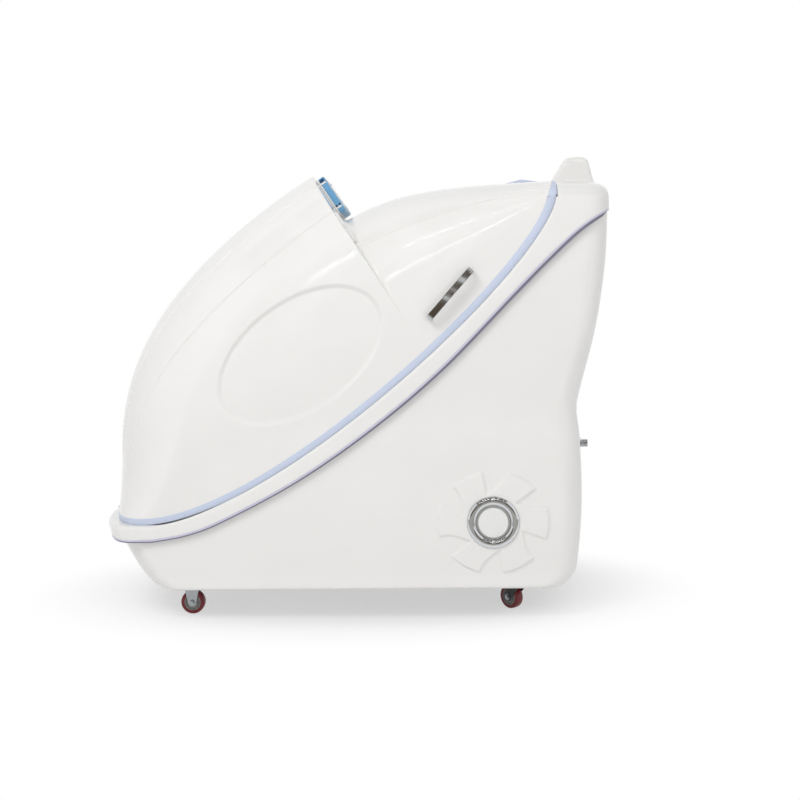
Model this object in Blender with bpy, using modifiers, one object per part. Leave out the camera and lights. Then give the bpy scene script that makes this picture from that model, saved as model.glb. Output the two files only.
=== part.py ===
import math

import bmesh
import bpy
from mathutils import Matrix, Vector
from mathutils.bvhtree import BVHTree

# Overall size of the capsule, foot end at -X and head end at +X, floor at Z = 0; other places follow
HALF_LENGTH = 0.683
HALF_WIDTH = 0.395
HOOD_TOP_Z = 1.171
GAP = 0.0003
RUN_GAP = 0.0005
WALL = 0.006

# Foot end of the plan: how far the nose bulges, and how square the arches are
NOSE_BULGE = 0.135
NOSE_POWER = 2.3
ARCH_POWER = 2.8
ARCH_FROM = 0.40
NOSE_STEPS = 14
CORNER_RADIUS = 0.060
CORNER_STEPS = 4

# Line of the ledge in side view, as a cubic from the foot to the lid's rear corner
LEDGE_FOOT_IN = 0.158
LEDGE_FOOT_X = -HALF_LENGTH + LEDGE_FOOT_IN
LEDGE_FOOT_Z = 0.255
COWL_LENGTH = 0.135
LEDGE_REAR_X = HALF_LENGTH - COWL_LENGTH
LEDGE_DROP = 0.101
LEDGE_REAR_Z = HOOD_TOP_Z - LEDGE_DROP
LEDGE_FOOT_PULL = 0.335
LEDGE_REAR_PULL = (-0.024, -0.172)
LEDGE_INSET = 0.050

# Lower edge of the rim moulding in side view, as shares of the half length and of the ledge's rise
SEAM_LINE = (
    (-0.7277, -0.0417),
    (-0.5900, -0.0209),
    (-0.4510, 0.0233),
    (-0.1757, 0.1436),
    (0.0981, 0.2982),
    (0.3675, 0.4834),
    (0.6340, 0.7080),
    (0.7657, 0.8147),
    (0.8960, 0.9018),
)
FASCIA_FOOT = 0.035
SEAM_FOOT_Z = LEDGE_FOOT_Z - FASCIA_FOOT
FASCIA_HEAD = 0.040
SEAM_HEAD_Z = LEDGE_REAR_Z - FASCIA_HEAD
SEAM_PAST_NOSE = 0.100
SEAM_PAST_BACK = 0.020
SEAM_LAP = 0.010
SEAM_TRIM_DEPTH = 0.003
SEAM_TRIM_INSET = 0.001

# Head cowl behind the lid
COWL_FRONT_GAP = 0.004
COWL_RISE = 0.058
COWL_TOP_Z = LEDGE_REAR_Z + COWL_RISE
COWL_ARCH_RISE = 0.090
COWL_EDGE_RADIUS = 0.042

# Headrest on the cowl
HEADREST_HEIGHT = 0.074
HEADREST_HALF_WIDTH = 0.125
HEADREST_FRONT = 0.018
HEADREST_BASE = 0.098
HEADREST_TOP = 0.044
HEADREST_LEAN = 0.028
HEADREST_ROUND = 0.014

# Lid: hood, step and deck
LID_INSET = 0.025
LID_HALF_WIDTH = HALF_WIDTH - LID_INSET
LID_NOSE_INSET = 0.028
LID_WALL = 0.007
TRIM_FOOT = 0.012
TRIM_HEAD = 0.021
TRIM_THICK = 0.005
TRIM_TOP_GAP = 0.0020
HOOD_TOP_SHARE = -0.1347
HOOD_TOP_X = HALF_LENGTH * HOOD_TOP_SHARE
HOOD_RISE = HOOD_TOP_Z - LEDGE_FOOT_Z
HOOD_NOSE_PULL = 0.150
HOOD_TOP_PULL = (-0.620, -0.385)
HOOD_RIBS = 11
STEP_SHARE = 0.578
RIB_EASE = 1.6
STEP_DEPTH = 0.27
DECK_PULL = (0.150, 0.062)
DECK_RIBS = 6
ARCH_COLUMNS = 8
CREASE_ANGLES = (math.radians(45.0), math.radians(57.0))
CREASE_STEP = math.radians(0.5)
CREASE_RISE = 0.0025
CREASE_FROM = 0.22
CREASE_FADE = 0.12

# Neck notch in the deck
NOTCH_HALF_WIDTH = 0.095
NOTCH_DEPTH = 0.165
NOTCH_BEAD = 0.0055
BEAD_END_GAP = 0.004

# Oval recess in the lid's flanks
OVAL_AHEAD = 0.014
OVAL_DROP_SHARE = 0.5273
OVAL_CENTRE = (HOOD_TOP_X - OVAL_AHEAD, HOOD_TOP_Z - HOOD_RISE * OVAL_DROP_SHARE)
OVAL_LONG_SHARE = 0.34553
OVAL_LONG = HALF_LENGTH * OVAL_LONG_SHARE
OVAL_SHORT_SHARE = 0.15175
OVAL_SHORT = HOOD_RISE * OVAL_SHORT_SHARE
OVAL_TILT = math.radians(33.6)
OVAL_DEPTH = 0.0045
OVAL_STEPS = 32
OVAL_RINGS = 3

# Pull handles
HANDLE_AHEAD = 0.265
HANDLE_BELOW = 0.235
HANDLE_CENTRE = (LEDGE_REAR_X - HANDLE_AHEAD, LEDGE_REAR_Z - HANDLE_BELOW)
HANDLE_TILT = math.radians(48.2)
HANDLE_LENGTH = 0.164
HANDLE_WIDTH = 0.018
HANDLE_STAND = 0.028
HANDLE_BAR = 0.005
HANDLE_ROUND = 0.010

# Control panel on the step
PANEL_WIDTH = 0.170
PANEL_HEIGHT = 0.112
PANEL_THICK = 0.022
PANEL_FROM_TOP = 0.012
PANEL_ROUND = 0.006
SCREEN_WIDTH = 0.146
SCREEN_HEIGHT = 0.058
SCREEN_THICK = 0.0025
SCREEN_UP = 0.016
KEY_COUNT = 3
KEY_WIDTH = 0.026
KEY_HEIGHT = 0.014
KEY_PITCH = 0.044
KEY_DOWN = 0.037
KEY_DEPTH = 0.006
KEY_PROUD = 0.0025
KEY_WELL = 0.010
KEY_FIT = 0.0004

# Base skirt: half width, and its foot and back lines in side view as (z, distance in from the end)
SKIRT_INSET = 0.019
SKIRT_HALF_WIDTH = HALF_WIDTH - SKIRT_INSET
SKIRT_TUCK = 0.006
FOOT_LINE = (
    (0.075, 0.168),
    (0.085, 0.121),
    (0.105, 0.080),
    (0.145, 0.046),
    (0.215, 0.014),
    (0.300, 0.014),
)
BACK_LINE = (
    (0.075, 0.153),
    (0.085, 0.120),
    (0.105, 0.098),
    (0.145, 0.083),
    (0.300, 0.071),
    (LEDGE_REAR_Z - 0.609, 0.075),
    (LEDGE_REAR_Z - 0.530, 0.083),
    (LEDGE_REAR_Z - 0.470, 0.071),
    (LEDGE_REAR_Z - 0.319, 0.033),
    (LEDGE_REAR_Z - 0.150, 0.013),
    (LEDGE_REAR_Z - 0.010, 0.009),
)

# Fan relief and badge on the skirt's flanks
FAN_FROM_BACK = 0.301
FAN_X = HALF_LENGTH - FAN_FROM_BACK
FAN_Z = 0.256
FAN_BLADES = 6
FAN_RADIUS = 0.137
FAN_HUB = 0.076
FAN_TURN = math.radians(-2.0)
FAN_TIP = math.radians(35.0)
FAN_RELIEF = 0.006
BEZEL_RADIUS = 0.068
BEZEL_BORE = 0.041
BEZEL_HEIGHT = 0.012
BEZEL_DISH = 0.007
CAP_HEIGHT = 0.006

# Seat tub: side line of footwell, seat and backrest
TUB_WALL = 0.006
TUB_FLOOR_Z = 0.140
FOOTWELL_IN = 0.173
FOOTWELL_X = -HALF_LENGTH + FOOTWELL_IN
FOOTWELL_RISE = (0.155, 0.175)
RISER_FOOT_X = -0.135
SEAT_FRONT_X = -0.095
SEAT_FRONT_Z = 0.380
SEAT_BACK_X = 0.230
SEAT_BACK_Z = 0.355
BACKREST_DROP = 0.085
BACKREST_TOP_Z = LEDGE_REAR_Z - BACKREST_DROP
TUB_ROUND = 0.030

# Chassis frame of square tube under the tub
FRAME_TUBE = 0.030
FRAME_BOTTOM_Z = 0.085
FRAME_INSET = 0.073
FRAME_HALF_WIDTH = HALF_WIDTH - FRAME_INSET
FRAME_FOOT_IN = 0.228
FRAME_FOOT_X = -HALF_LENGTH + FRAME_FOOT_IN
FRAME_HEAD_IN = 0.163
FRAME_HEAD_X = HALF_LENGTH - FRAME_HEAD_IN

# Casters
WHEEL_RADIUS = 0.03175
WHEEL_WIDTH = 0.024
TYRE_DEPTH = 0.010
FRONT_TRACK_INSET = 0.107
CASTER_HALF_TRACK = HALF_WIDTH - FRONT_TRACK_INSET
REAR_TRACK_INSET = 0.125
REAR_HALF_TRACK = HALF_WIDTH - REAR_TRACK_INSET
FRONT_CASTER_IN = 0.264
FRONT_CASTER_X = -HALF_LENGTH + FRONT_CASTER_IN
REAR_CASTER_IN = 0.233
REAR_CASTER_X = HALF_LENGTH - REAR_CASTER_IN
CASTER_PLATE = (0.060, 0.046, 0.003)
FORK_LEG = 0.0025
FORK_SIDE_GAP = 0.0015
FORK_WIDTH = 0.044
FORK_BOSS = 0.011
FORK_TRAIL = 0.026
SWIVEL_REST = math.radians(45.0)
RACE_HEIGHT = 0.007
RACE_RADIUS = 0.020
AXLE_RADIUS = 0.004
AXLE_HEAD = 0.007

# Lid hinges at the foot
HINGE_AHEAD = 0.008
HINGE_UP = 0.010
HINGE_OFFSET_Y = 0.070
HINGE_WIDTH = 0.050
HINGE_LEAF = 0.0022
HINGE_PIN = 0.0025
HINGE_KNUCKLE = 0.0050
LID_LEAF_HEIGHT = 0.038

# Gas struts, both pins at one distance from the hinge axis
STRUT_REACH = 0.420
STRUT_BASE_ANGLE = math.radians(-8.0)
STRUT_SPREAD = math.radians(60.0)
STRUT_STANDOFF = 0.02653
STRUT_TUBE = 0.011
STRUT_BORE = 0.0065
STRUT_ROD = 0.005
STRUT_TUBE_FROM = 0.028
STRUT_NECK = 0.0055
STRUT_TUBE_TO = 0.360
STRUT_ROD_LENGTH = 0.366
STRUT_PIN = 0.004
STRUT_EYE = 0.0095
STRUT_EYE_WIDTH = 0.012
BRACKET_PAD = 0.040
BRACKET_PAD_THICK = 0.004

# Water inlet, boiler and pipes
INLET_INSET = 0.145
INLET_Y = -HALF_WIDTH + INLET_INSET
INLET_Z = 0.440
INLET_RADIUS = 0.0104
INLET_BORE = 0.0075
INLET_OUT = 0.026
INLET_IN = 0.022
INLET_COLLAR = 0.0135
NUT_FLATS = 0.027
NUT_THICK = 0.008
BOILER_X = 0.180
BOILER_LENGTH = 0.300
BOILER_RADIUS = 0.078
BOILER_FOOT = 0.024
PIPE_RADIUS = 0.008
PIPE_END = 0.001
NOZZLE_RADIUS = 0.020
NOZZLE_STEM = 0.010
NOZZLE_Z = 0.235


# Helpers for materials, meshes and cuts
def shade(name, hex_colour, roughness, metallic=0.0):
    parts = [int(hex_colour[i:i + 2], 16) / 255 for i in (1, 3, 5)]
    linear = [c / 12.92 if c <= 0.04045 else ((c + 0.055) / 1.055) ** 2.4 for c in parts]
    mat = bpy.data.materials.new(name)
    mat.use_nodes = True
    shader = mat.node_tree.nodes["Principled BSDF"]
    shader.inputs["Base Color"].default_value = (*linear, 1.0)
    shader.inputs["Roughness"].default_value = roughness
    shader.inputs["Metallic"].default_value = metallic
    mat.diffuse_color = (*linear, 1.0)
    return mat


def place(name, mesh, mat, collection=None):
    obj = bpy.data.objects.new(name, mesh)
    mesh.materials.clear()
    if mat:
        mesh.materials.append(mat)
    (collection or PARTS).objects.link(obj)
    return obj


def finish_mesh(bm, name, outward=True):
    bmesh.ops.remove_doubles(bm, verts=bm.verts, dist=1e-6)
    if outward:
        bmesh.ops.recalc_face_normals(bm, faces=bm.faces)
    mesh = bpy.data.meshes.new(name)
    bm.to_mesh(mesh)
    bm.free()
    return mesh


def on_axis(axis, a, b, along):
    if axis == "X":
        return Vector((along, a, b))
    if axis == "Y":
        return Vector((a, along, b))
    return Vector((a, b, along))


def prism(name, outline, axis, low, high, mat=None):
    bm = bmesh.new()
    ring = [bm.verts.new(on_axis(axis, a, b, low)) for a, b in outline]
    face = bm.faces.new(ring)
    grown = bmesh.ops.extrude_face_region(bm, geom=[face])
    moved = [v for v in grown["geom"] if isinstance(v, bmesh.types.BMVert)]
    bmesh.ops.translate(bm, verts=moved, vec=on_axis(axis, 0.0, 0.0, high - low))
    return place(name, finish_mesh(bm, name), mat)


def block(name, centre, size, mat=None):
    bm = bmesh.new()
    bmesh.ops.create_cube(bm, size=1.0)
    bmesh.ops.scale(bm, vec=Vector(size), verts=bm.verts)
    bmesh.ops.translate(bm, vec=Vector(centre), verts=bm.verts)
    return place(name, finish_mesh(bm, name), mat)


def turned(name, profile, centre, direction, mat=None, steps=16):
    mesh = bpy.data.meshes.new(name)
    count = len(profile)
    closed = abs(profile[0][0]) > 1e-9
    edges = [(i, i + 1) for i in range(count - 1)]
    if closed:
        edges.append((count - 1, 0))
    mesh.from_pydata([(r, 0.0, z) for r, z in profile], edges, [])
    obj = place(name, mesh, mat)
    screw = obj.modifiers.new("turn", "SCREW")
    screw.steps = steps
    screw.render_steps = steps
    screw.use_merge_vertices = True
    screw.merge_threshold = 1e-6
    screw.use_normal_calculate = True
    bake(obj)
    turn = Vector((0, 0, 1)).rotation_difference(Vector(direction)).to_matrix().to_4x4()
    obj.data.transform(Matrix.Translation(Vector(centre)) @ turn)
    return obj


def rod(name, centre, direction, radius, length, mat=None, steps=10):
    half = length / 2
    profile = [(0, half), (radius, half), (radius, -half), (0, -half)]
    return turned(name, profile, centre, direction, mat, steps)


def tube(name, points, radius, mat=None):
    curve = bpy.data.curves.new(name, "CURVE")
    curve.dimensions = "3D"
    curve.bevel_depth = radius
    curve.bevel_resolution = 2
    curve.use_fill_caps = True
    line = curve.splines.new("POLY")
    line.points.add(len(points) - 1)
    for spot, point in zip(line.points, points):
        spot.co = (*point, 1.0)
    source = bpy.data.objects.new(name + "_line", curve)
    CUTTERS.objects.link(source)
    bpy.context.view_layer.update()
    shape = source.evaluated_get(bpy.context.evaluated_depsgraph_get())
    mesh = bpy.data.meshes.new_from_object(shape)
    bpy.data.objects.remove(source)
    bm = bmesh.new()
    bm.from_mesh(mesh)
    return place(name, finish_mesh(bm, name), mat)


def bake(obj):
    bpy.context.view_layer.update()
    shape = obj.evaluated_get(bpy.context.evaluated_depsgraph_get())
    bm = bmesh.new()
    bm.from_mesh(bpy.data.meshes.new_from_object(shape))
    mats = list(obj.data.materials)
    obj.modifiers.clear()
    obj.data = finish_mesh(bm, obj.name)
    for mat in mats:
        obj.data.materials.append(mat)
    return obj


def round_edges(obj, width, segments=2, limit=40.0):
    bevel = obj.modifiers.new("round", "BEVEL")
    bevel.width = width
    bevel.segments = segments
    bevel.limit_method = "ANGLE"
    bevel.angle_limit = math.radians(limit)
    return obj


def combine(obj, tool, operation="DIFFERENCE"):
    for holder in list(tool.users_collection):
        holder.objects.unlink(tool)
    CUTTERS.objects.link(tool)
    tool.hide_render = True
    tool.display_type = "WIRE"
    change = obj.modifiers.new(tool.name, "BOOLEAN")
    change.operation = operation
    change.solver = "EXACT"
    change.object = tool
    return obj


def twin(name, obj):
    mesh = obj.data.copy()
    mesh.transform(obj.matrix_basis)
    mesh.transform(Matrix.Scale(-1.0, 4, (0, 1, 0)))
    mesh.flip_normals()
    return place(name, mesh, obj.data.materials[0])


def pivot_at(obj, point):
    obj.data.transform(Matrix.Translation(-Vector(point)))
    obj.location = Vector(point)
    return obj


def swing(obj, angle, axis, point):
    centre = Matrix.Translation(Vector(point))
    obj.data.transform(centre @ Matrix.Rotation(angle, 4, axis) @ centre.inverted())
    return obj


def seat_on(obj, origin, across, up):
    x, y = Vector(across).normalized(), Vector(up).normalized()
    frame = Matrix((x, y, x.cross(y))).transposed().to_4x4()
    obj.data.transform(Matrix.Translation(Vector(origin)) @ frame)
    return obj


# Curves and sections shared by the mouldings
def cubic(a, b, c, d, share):
    back = 1 - share
    return a * back ** 3 + b * 3 * back * back * share + c * 3 * back * share * share + d * share ** 3


def flat(x, z):
    return Vector((x, 0.0, z))


def arch(angle, power):
    c, s = math.cos(angle), math.sin(angle)
    reach = (abs(c) ** power + abs(s) ** power) ** (-1 / power)
    return c * reach, s * reach


def smooth(points, steps):
    ends = [points[0]] + list(points) + [points[-1]]
    line = []
    for a, b, c, d in zip(ends, ends[1:], ends[2:], ends[3:]):
        for k in range(steps):
            u = k / steps
            line.append(tuple(
                0.5 * (2 * q + (r - p) * u + (2 * p - 5 * q + 4 * r - s) * u * u
                       + (3 * q - p - 3 * r + s) * u ** 3)
                for p, q, r, s in zip(a, b, c, d)))
    return line + [tuple(points[-1])]


HOOD_SHARES = [STEP_SHARE * (k / HOOD_RIBS) ** RIB_EASE for k in range(HOOD_RIBS + 1)]
DECK_SHARES = [STEP_SHARE + (1 - STEP_SHARE) * k / DECK_RIBS for k in range(DECK_RIBS + 1)]


def ledge(share):
    a = flat(LEDGE_FOOT_X, LEDGE_FOOT_Z)
    d = flat(LEDGE_REAR_X, LEDGE_REAR_Z)
    b = a + flat(LEDGE_FOOT_PULL, 0.0)
    c = d + flat(*LEDGE_REAR_PULL)
    return cubic(a, b, c, d, share)


def ledge_up(share):
    step = ledge(min(share + 0.002, 1.0)) - ledge(max(share - 0.002, 0.0))
    return flat(-step.z, step.x).normalized()


def ledge_line(drop):
    line = [ledge(s) - ledge_up(s) * drop for s in HOOD_SHARES + DECK_SHARES[1:]]
    return [(p.x, p.z) for p in line]


def seam_line(lift):
    rise = LEDGE_REAR_Z - LEDGE_FOOT_Z
    line = smooth([(share * HALF_LENGTH, LEDGE_FOOT_Z + up * rise) for share, up in SEAM_LINE], 2)
    line = [(-HALF_LENGTH - SEAM_PAST_NOSE, SEAM_FOOT_Z)] + line
    line.append((HALF_LENGTH + SEAM_PAST_BACK, SEAM_HEAD_Z + SEAM_PAST_BACK / 5))
    return [(x, z + lift) for x, z in line]


def plan(nose, back, half, bulge, corner):
    ring = []
    for k in range(NOSE_STEPS + 1):
        c, s = arch(-math.pi / 2 + math.pi * k / NOSE_STEPS, NOSE_POWER)
        ring.append((nose + bulge - bulge * c, half * s))
    for side in (1, -1):
        for k in range(CORNER_STEPS + 1):
            turn = math.pi / 2 * (k / CORNER_STEPS)
            a, b = (math.sin(turn), math.cos(turn)) if side > 0 else (math.cos(turn), math.sin(turn))
            ring.append((back - corner + corner * a, side * (half - corner + corner * b)))
    return ring


def loft(name, rows, mat, wall, closed=False, even=True):
    bm = bmesh.new()
    grid = [[bm.verts.new(p) for p in row] for row in rows]
    for low, high in zip(grid, grid[1:]):
        count = len(low)
        for k in range(count if closed else count - 1):
            n = (k + 1) % count
            bm.faces.new((low[k], low[n], high[n], high[k]))
    bmesh.ops.remove_doubles(bm, verts=bm.verts, dist=1e-5)
    mesh = finish_mesh(bm, name, outward=False)
    obj = place(name, mesh, mat)
    skin = obj.modifiers.new("wall", "SOLIDIFY")
    skin.thickness = wall
    skin.offset = -1.0
    skin.use_even_offset = even
    return obj


# Clear scene, collections and materials
for old in list(bpy.data.objects):
    bpy.data.objects.remove(old)
PARTS = bpy.data.collections.new("steam_sauna_capsule")
CUTTERS = bpy.data.collections.new("cutters")
bpy.context.scene.collection.children.link(PARTS)
bpy.context.scene.collection.children.link(CUTTERS)

GELCOAT = shade("white_gelcoat", "#EDEDEC", 0.18)
LINER = shade("white_liner_gelcoat", "#E6E6E4", 0.25)
BLUE_RUBBER = shade("pale_blue_seal", "#C3D0E6", 0.45)
SEAM_VINYL = shade("lilac_seam_vinyl", "#8C91AA", 0.5)
CHROME = shade("chrome_plate", "#D9DBDD", 0.08, 1.0)
STAINLESS = shade("brushed_stainless", "#B9BCBF", 0.3, 1.0)
ZINC = shade("zinc_plated_steel", "#9FA3A6", 0.35, 1.0)
BLACK_STEEL = shade("black_coated_steel", "#1E1F22", 0.45)
PANEL_BLUE = shade("blue_panel_plastic", "#5E9FCF", 0.3)
SCREEN_GLASS = shade("smoked_screen_glass", "#0E1620", 0.06)
KEY_WHITE = shade("white_key_plastic", "#F0F0EE", 0.35)
CAP_WHITE = shade("white_cap_plastic", "#ECECEA", 0.25)
TYRE_RED = shade("dark_red_polyurethane", "#6B1218", 0.4)
CORE_GREY = shade("grey_wheel_core", "#8D8A88", 0.5)
FRAME_GREY = shade("grey_painted_steel", "#6E7276", 0.5)
BRASS = shade("brass_fitting", "#B08D4C", 0.3, 1.0)
COPPER = shade("copper_pipe", "#B5714C", 0.3, 1.0)

# Rim moulding: fascia, ledge and head cowl as one thin shell, open below
COWL_FRONT_X = LEDGE_REAR_X + COWL_FRONT_GAP


def rim_plan(inset):
    return plan(-HALF_LENGTH + inset, HALF_LENGTH - inset, HALF_WIDTH - inset, NOSE_BULGE,
                CORNER_RADIUS - inset)


def rim_side(inset, low):
    top = ledge_line(inset)
    front = COWL_FRONT_X + inset
    back = HALF_LENGTH - inset
    crest = COWL_TOP_Z - inset
    round_off = COWL_EDGE_RADIUS - inset
    nose = [(-HALF_LENGTH - SEAM_PAST_NOSE, LEDGE_FOOT_Z - inset)]
    cowl = [(front, top[-1][1]), (front, crest)]
    for k in range(5):
        turn = math.pi / 2 * k / 4
        out, up = round_off * math.sin(turn), round_off * math.cos(turn)
        cowl.append((back - round_off + out, crest - round_off + up))
    if low is None:
        floor = list(reversed(seam_line(0.0)))
    else:
        floor = [(back, low), (-HALF_LENGTH - SEAM_PAST_NOSE, low)]
    return nose + top + cowl + floor


def cowl_arch(inset):
    half = HALF_WIDTH - inset
    line = []
    for k in range(19):
        c, s = arch(math.pi * k / 18, ARCH_POWER)
        line.append((half * c, COWL_TOP_Z - inset - COWL_ARCH_RISE * (1 - s)))
    return line + [(-half, 0.1), (half, 0.1)]


def rim_body(name, inset, low, mat=None):
    body = prism(name, rim_side(inset, low), "Y", -0.5, 0.5, mat)
    combine(body, prism(name + "_plan", rim_plan(inset), "Z", 0.0, 1.4), "INTERSECT")
    combine(body, prism(name + "_arch", cowl_arch(inset), "X", -1.0, 1.0), "INTERSECT")
    return body


OPENING_HALF = HALF_WIDTH - LEDGE_INSET
OPENING = plan(-HALF_LENGTH + LEDGE_INSET, COWL_FRONT_X - 0.001, OPENING_HALF, NOSE_BULGE, 0.001)
rim = rim_body("rim_moulding", 0.0, None, GELCOAT)
combine(rim, bake(rim_body("rim_hollow", WALL, 0.15)))
combine(rim, prism("rim_opening", OPENING, "Z", 0.1, 1.3))
bake(rim)

# Seam trim: thin vinyl edging under the fascia
band = seam_line(-GAP) + list(reversed(seam_line(-GAP - SEAM_TRIM_DEPTH)))
seam = prism("seam_trim", band, "Y", -0.5, 0.5, SEAM_VINYL)
combine(seam, prism("seam_outer", rim_plan(SEAM_TRIM_INSET), "Z", 0.0, 1.4), "INTERSECT")
combine(seam, prism("seam_inner", rim_plan(WALL), "Z", 0.0, 1.4))
bake(seam)


# Base skirt: stacked plan outlines, cut off along the seam
def line_at(points, level):
    for (z0, x0), (z1, x1) in zip(points, points[1:]):
        if level <= z1:
            return x0 + (x1 - x0) * (level - z0) / (z1 - z0)
    return points[-1][1]


foot_curve = smooth(FOOT_LINE, 4)
back_curve = smooth(BACK_LINE, 4)
levels = sorted({z for z, _ in FOOT_LINE + BACK_LINE}, reverse=True)
SKIRT_BOTTOM_Z = levels[-1]


def skirt_ring(level):
    tuck = SKIRT_TUCK if level == SKIRT_BOTTOM_Z else 0.0
    nose = -HALF_LENGTH + line_at(foot_curve, level)
    back = HALF_LENGTH - line_at(back_curve, level)
    ring = plan(nose, back, SKIRT_HALF_WIDTH - tuck, NOSE_BULGE, CORNER_RADIUS)
    return [Vector((x, y, level)) for x, y in ring]


skirt = loft("base_skirt", [skirt_ring(z) for z in levels], GELCOAT, WALL, closed=True)
above = seam_line(SEAM_LAP) + [(HALF_LENGTH + 0.1, 1.4), (-HALF_LENGTH - 0.1, 1.4)]
combine(skirt, prism("above_seam", above, "Y", -0.5, 0.5))


# Fan relief: one raised outline of hub and swept blades, merged into each flank
def fan_outline():
    pitch = 2 * math.pi / FAN_BLADES
    line = []
    for blade in range(FAN_BLADES):
        middle = FAN_TURN + blade * pitch
        start = middle - FAN_TIP / 2
        line.append((FAN_HUB, start + 0.02))
        for k in range(5):
            line.append((FAN_RADIUS, start + FAN_TIP * k / 4))
        for k in range(1, 5):
            share = k / 5
            sweep = (pitch - FAN_TIP) * 0.92 * share ** 2.2
            line.append((FAN_RADIUS + (FAN_HUB - FAN_RADIUS) * share ** 0.8, start + FAN_TIP + sweep))
    return [(FAN_X + r * math.cos(a), FAN_Z + r * math.sin(a)) for r, a in line]


for side, tag in ((-1, "left"), (1, "right")):
    near = side * (SKIRT_HALF_WIDTH + FAN_RELIEF)
    far = side * (SKIRT_HALF_WIDTH - WALL / 2)
    combine(skirt, prism("fan_" + tag, fan_outline(), "Y", min(near, far), max(near, far)), "UNION")


def skirt_back_x(level):
    for low, high in zip(reversed(levels), reversed(levels[:-1])):
        if level <= high:
            ends = [HALF_LENGTH - line_at(back_curve, z) for z in (low, high)]
            return ends[0] + (ends[1] - ends[0]) * (level - low) / (high - low)
    return HALF_LENGTH - line_at(back_curve, level)


INLET_WALL_X = skirt_back_x(INLET_Z)
inlet_spot = (INLET_WALL_X, INLET_Y, INLET_Z)
combine(skirt, rod("inlet_hole", inlet_spot, (1, 0, 0), INLET_RADIUS + RUN_GAP, 0.06, None, 16))
bake(skirt)

# Badge on each fan: chrome bezel with a white cap
BADGE_Y = -(SKIRT_HALF_WIDTH + FAN_RELIEF + GAP)
bezel_profile = [
    (BEZEL_BORE, BEZEL_DISH),
    (BEZEL_RADIUS - 0.008, BEZEL_HEIGHT),
    (BEZEL_RADIUS - 0.003, BEZEL_HEIGHT),
    (BEZEL_RADIUS, BEZEL_HEIGHT - 0.004),
    (BEZEL_RADIUS, 0.0),
    (BEZEL_BORE, 0.0),
]
cap_profile = [
    (0.0, CAP_HEIGHT + 0.003),
    (BEZEL_BORE * 0.55, CAP_HEIGHT + 0.002),
    (BEZEL_BORE - GAP, CAP_HEIGHT),
    (BEZEL_BORE - GAP, 0.0),
    (0.0, 0.0),
]
bezel = turned("badge_bezel_left", bezel_profile, (FAN_X, BADGE_Y, FAN_Z), (0, -1, 0), CHROME, 24)
cap = turned("badge_cap_left", cap_profile, (FAN_X, BADGE_Y, FAN_Z), (0, -1, 0), CAP_WHITE, 24)
twin("badge_bezel_right", bezel)
twin("badge_cap_right", cap)

# Headrest: leaning block with rounded edges on the cowl
front = COWL_FRONT_X + HEADREST_FRONT
headrest_side = [
    (front, COWL_TOP_Z + GAP),
    (front + HEADREST_BASE, COWL_TOP_Z + GAP),
    (front + HEADREST_LEAN + HEADREST_TOP, COWL_TOP_Z + HEADREST_HEIGHT),
    (front + HEADREST_LEAN, COWL_TOP_Z + HEADREST_HEIGHT),
]
headrest = prism("headrest", headrest_side, "Y", -HEADREST_HALF_WIDTH, HEADREST_HALF_WIDTH, GELCOAT)
bake(round_edges(headrest, HEADREST_ROUND, 3))


# Seat tub: footwell, seat and backrest in one liner hung inside the ledge
def offset_line(points, amount):
    moved = []
    for k, (x, z) in enumerate(points):
        before = points[max(k - 1, 0)]
        after = points[min(k + 1, len(points) - 1)]
        a = flat(x - before[0], z - before[1])
        b = flat(after[0] - x, after[1] - z)
        a = b if a.length == 0 else a
        b = a if b.length == 0 else b
        na = flat(a.z, -a.x).normalized()
        nb = flat(b.z, -b.x).normalized()
        middle = (na + nb).normalized()
        shift = middle * (amount / middle.dot(na))
        moved.append((x + shift.x, z + shift.z))
    return moved


TUB_HEAD_X = COWL_FRONT_X - 0.001 - GAP
seat_line = [
    (FOOTWELL_X - FOOTWELL_RISE[0], TUB_FLOOR_Z + FOOTWELL_RISE[1]),
    (FOOTWELL_X, TUB_FLOOR_Z),
    (RISER_FOOT_X, TUB_FLOOR_Z),
    (SEAT_FRONT_X, SEAT_FRONT_Z),
    (SEAT_BACK_X, SEAT_BACK_Z),
    (TUB_HEAD_X - 0.02, BACKREST_TOP_Z),
    (TUB_HEAD_X + 0.02, BACKREST_TOP_Z + 0.09),
]


def tub_body(name, inset, line, mat=None):
    body = prism(name, line + [(line[-1][0], 1.5), (line[0][0], 1.5)], "Y", -0.5, 0.5, mat)
    ring = plan(-HALF_LENGTH + LEDGE_INSET + GAP + inset, TUB_HEAD_X - inset,
                OPENING_HALF - GAP - inset, NOSE_BULGE, 0.02)
    combine(body, prism(name + "_plan", ring, "Z", 0.0, 1.4), "INTERSECT")
    bake(body)
    return bake(round_edges(body, TUB_ROUND + TUB_WALL - inset, 3, 50.0))


tub = tub_body("seat_tub", 0.0, offset_line(seat_line, TUB_WALL), LINER)
combine(tub, tub_body("tub_hollow", TUB_WALL, seat_line))
over = [p for p in ledge_line(0.002) if p[1] < BACKREST_TOP_Z - 0.025]
head_x = TUB_HEAD_X - TUB_WALL - 0.004
over = [(-HALF_LENGTH, over[0][1])] + over + [(head_x, BACKREST_TOP_Z + 0.03), (head_x, LEDGE_REAR_Z)]
over += [(HALF_LENGTH, LEDGE_REAR_Z), (HALF_LENGTH, 1.6), (-HALF_LENGTH, 1.6)]
combine(tub, prism("above_ledge", over, "Y", -0.6, 0.6))
bake(tub)


# Lid: hood ribs, the planar step and deck ribs, in one shell
def trim_depth(share):
    return TRIM_FOOT + (TRIM_HEAD - TRIM_FOOT) * share


def lid_edge(share):
    return ledge(share) + ledge_up(share) * trim_depth(share)


LID_NOSE_X = -HALF_LENGTH + LID_NOSE_INSET


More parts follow.
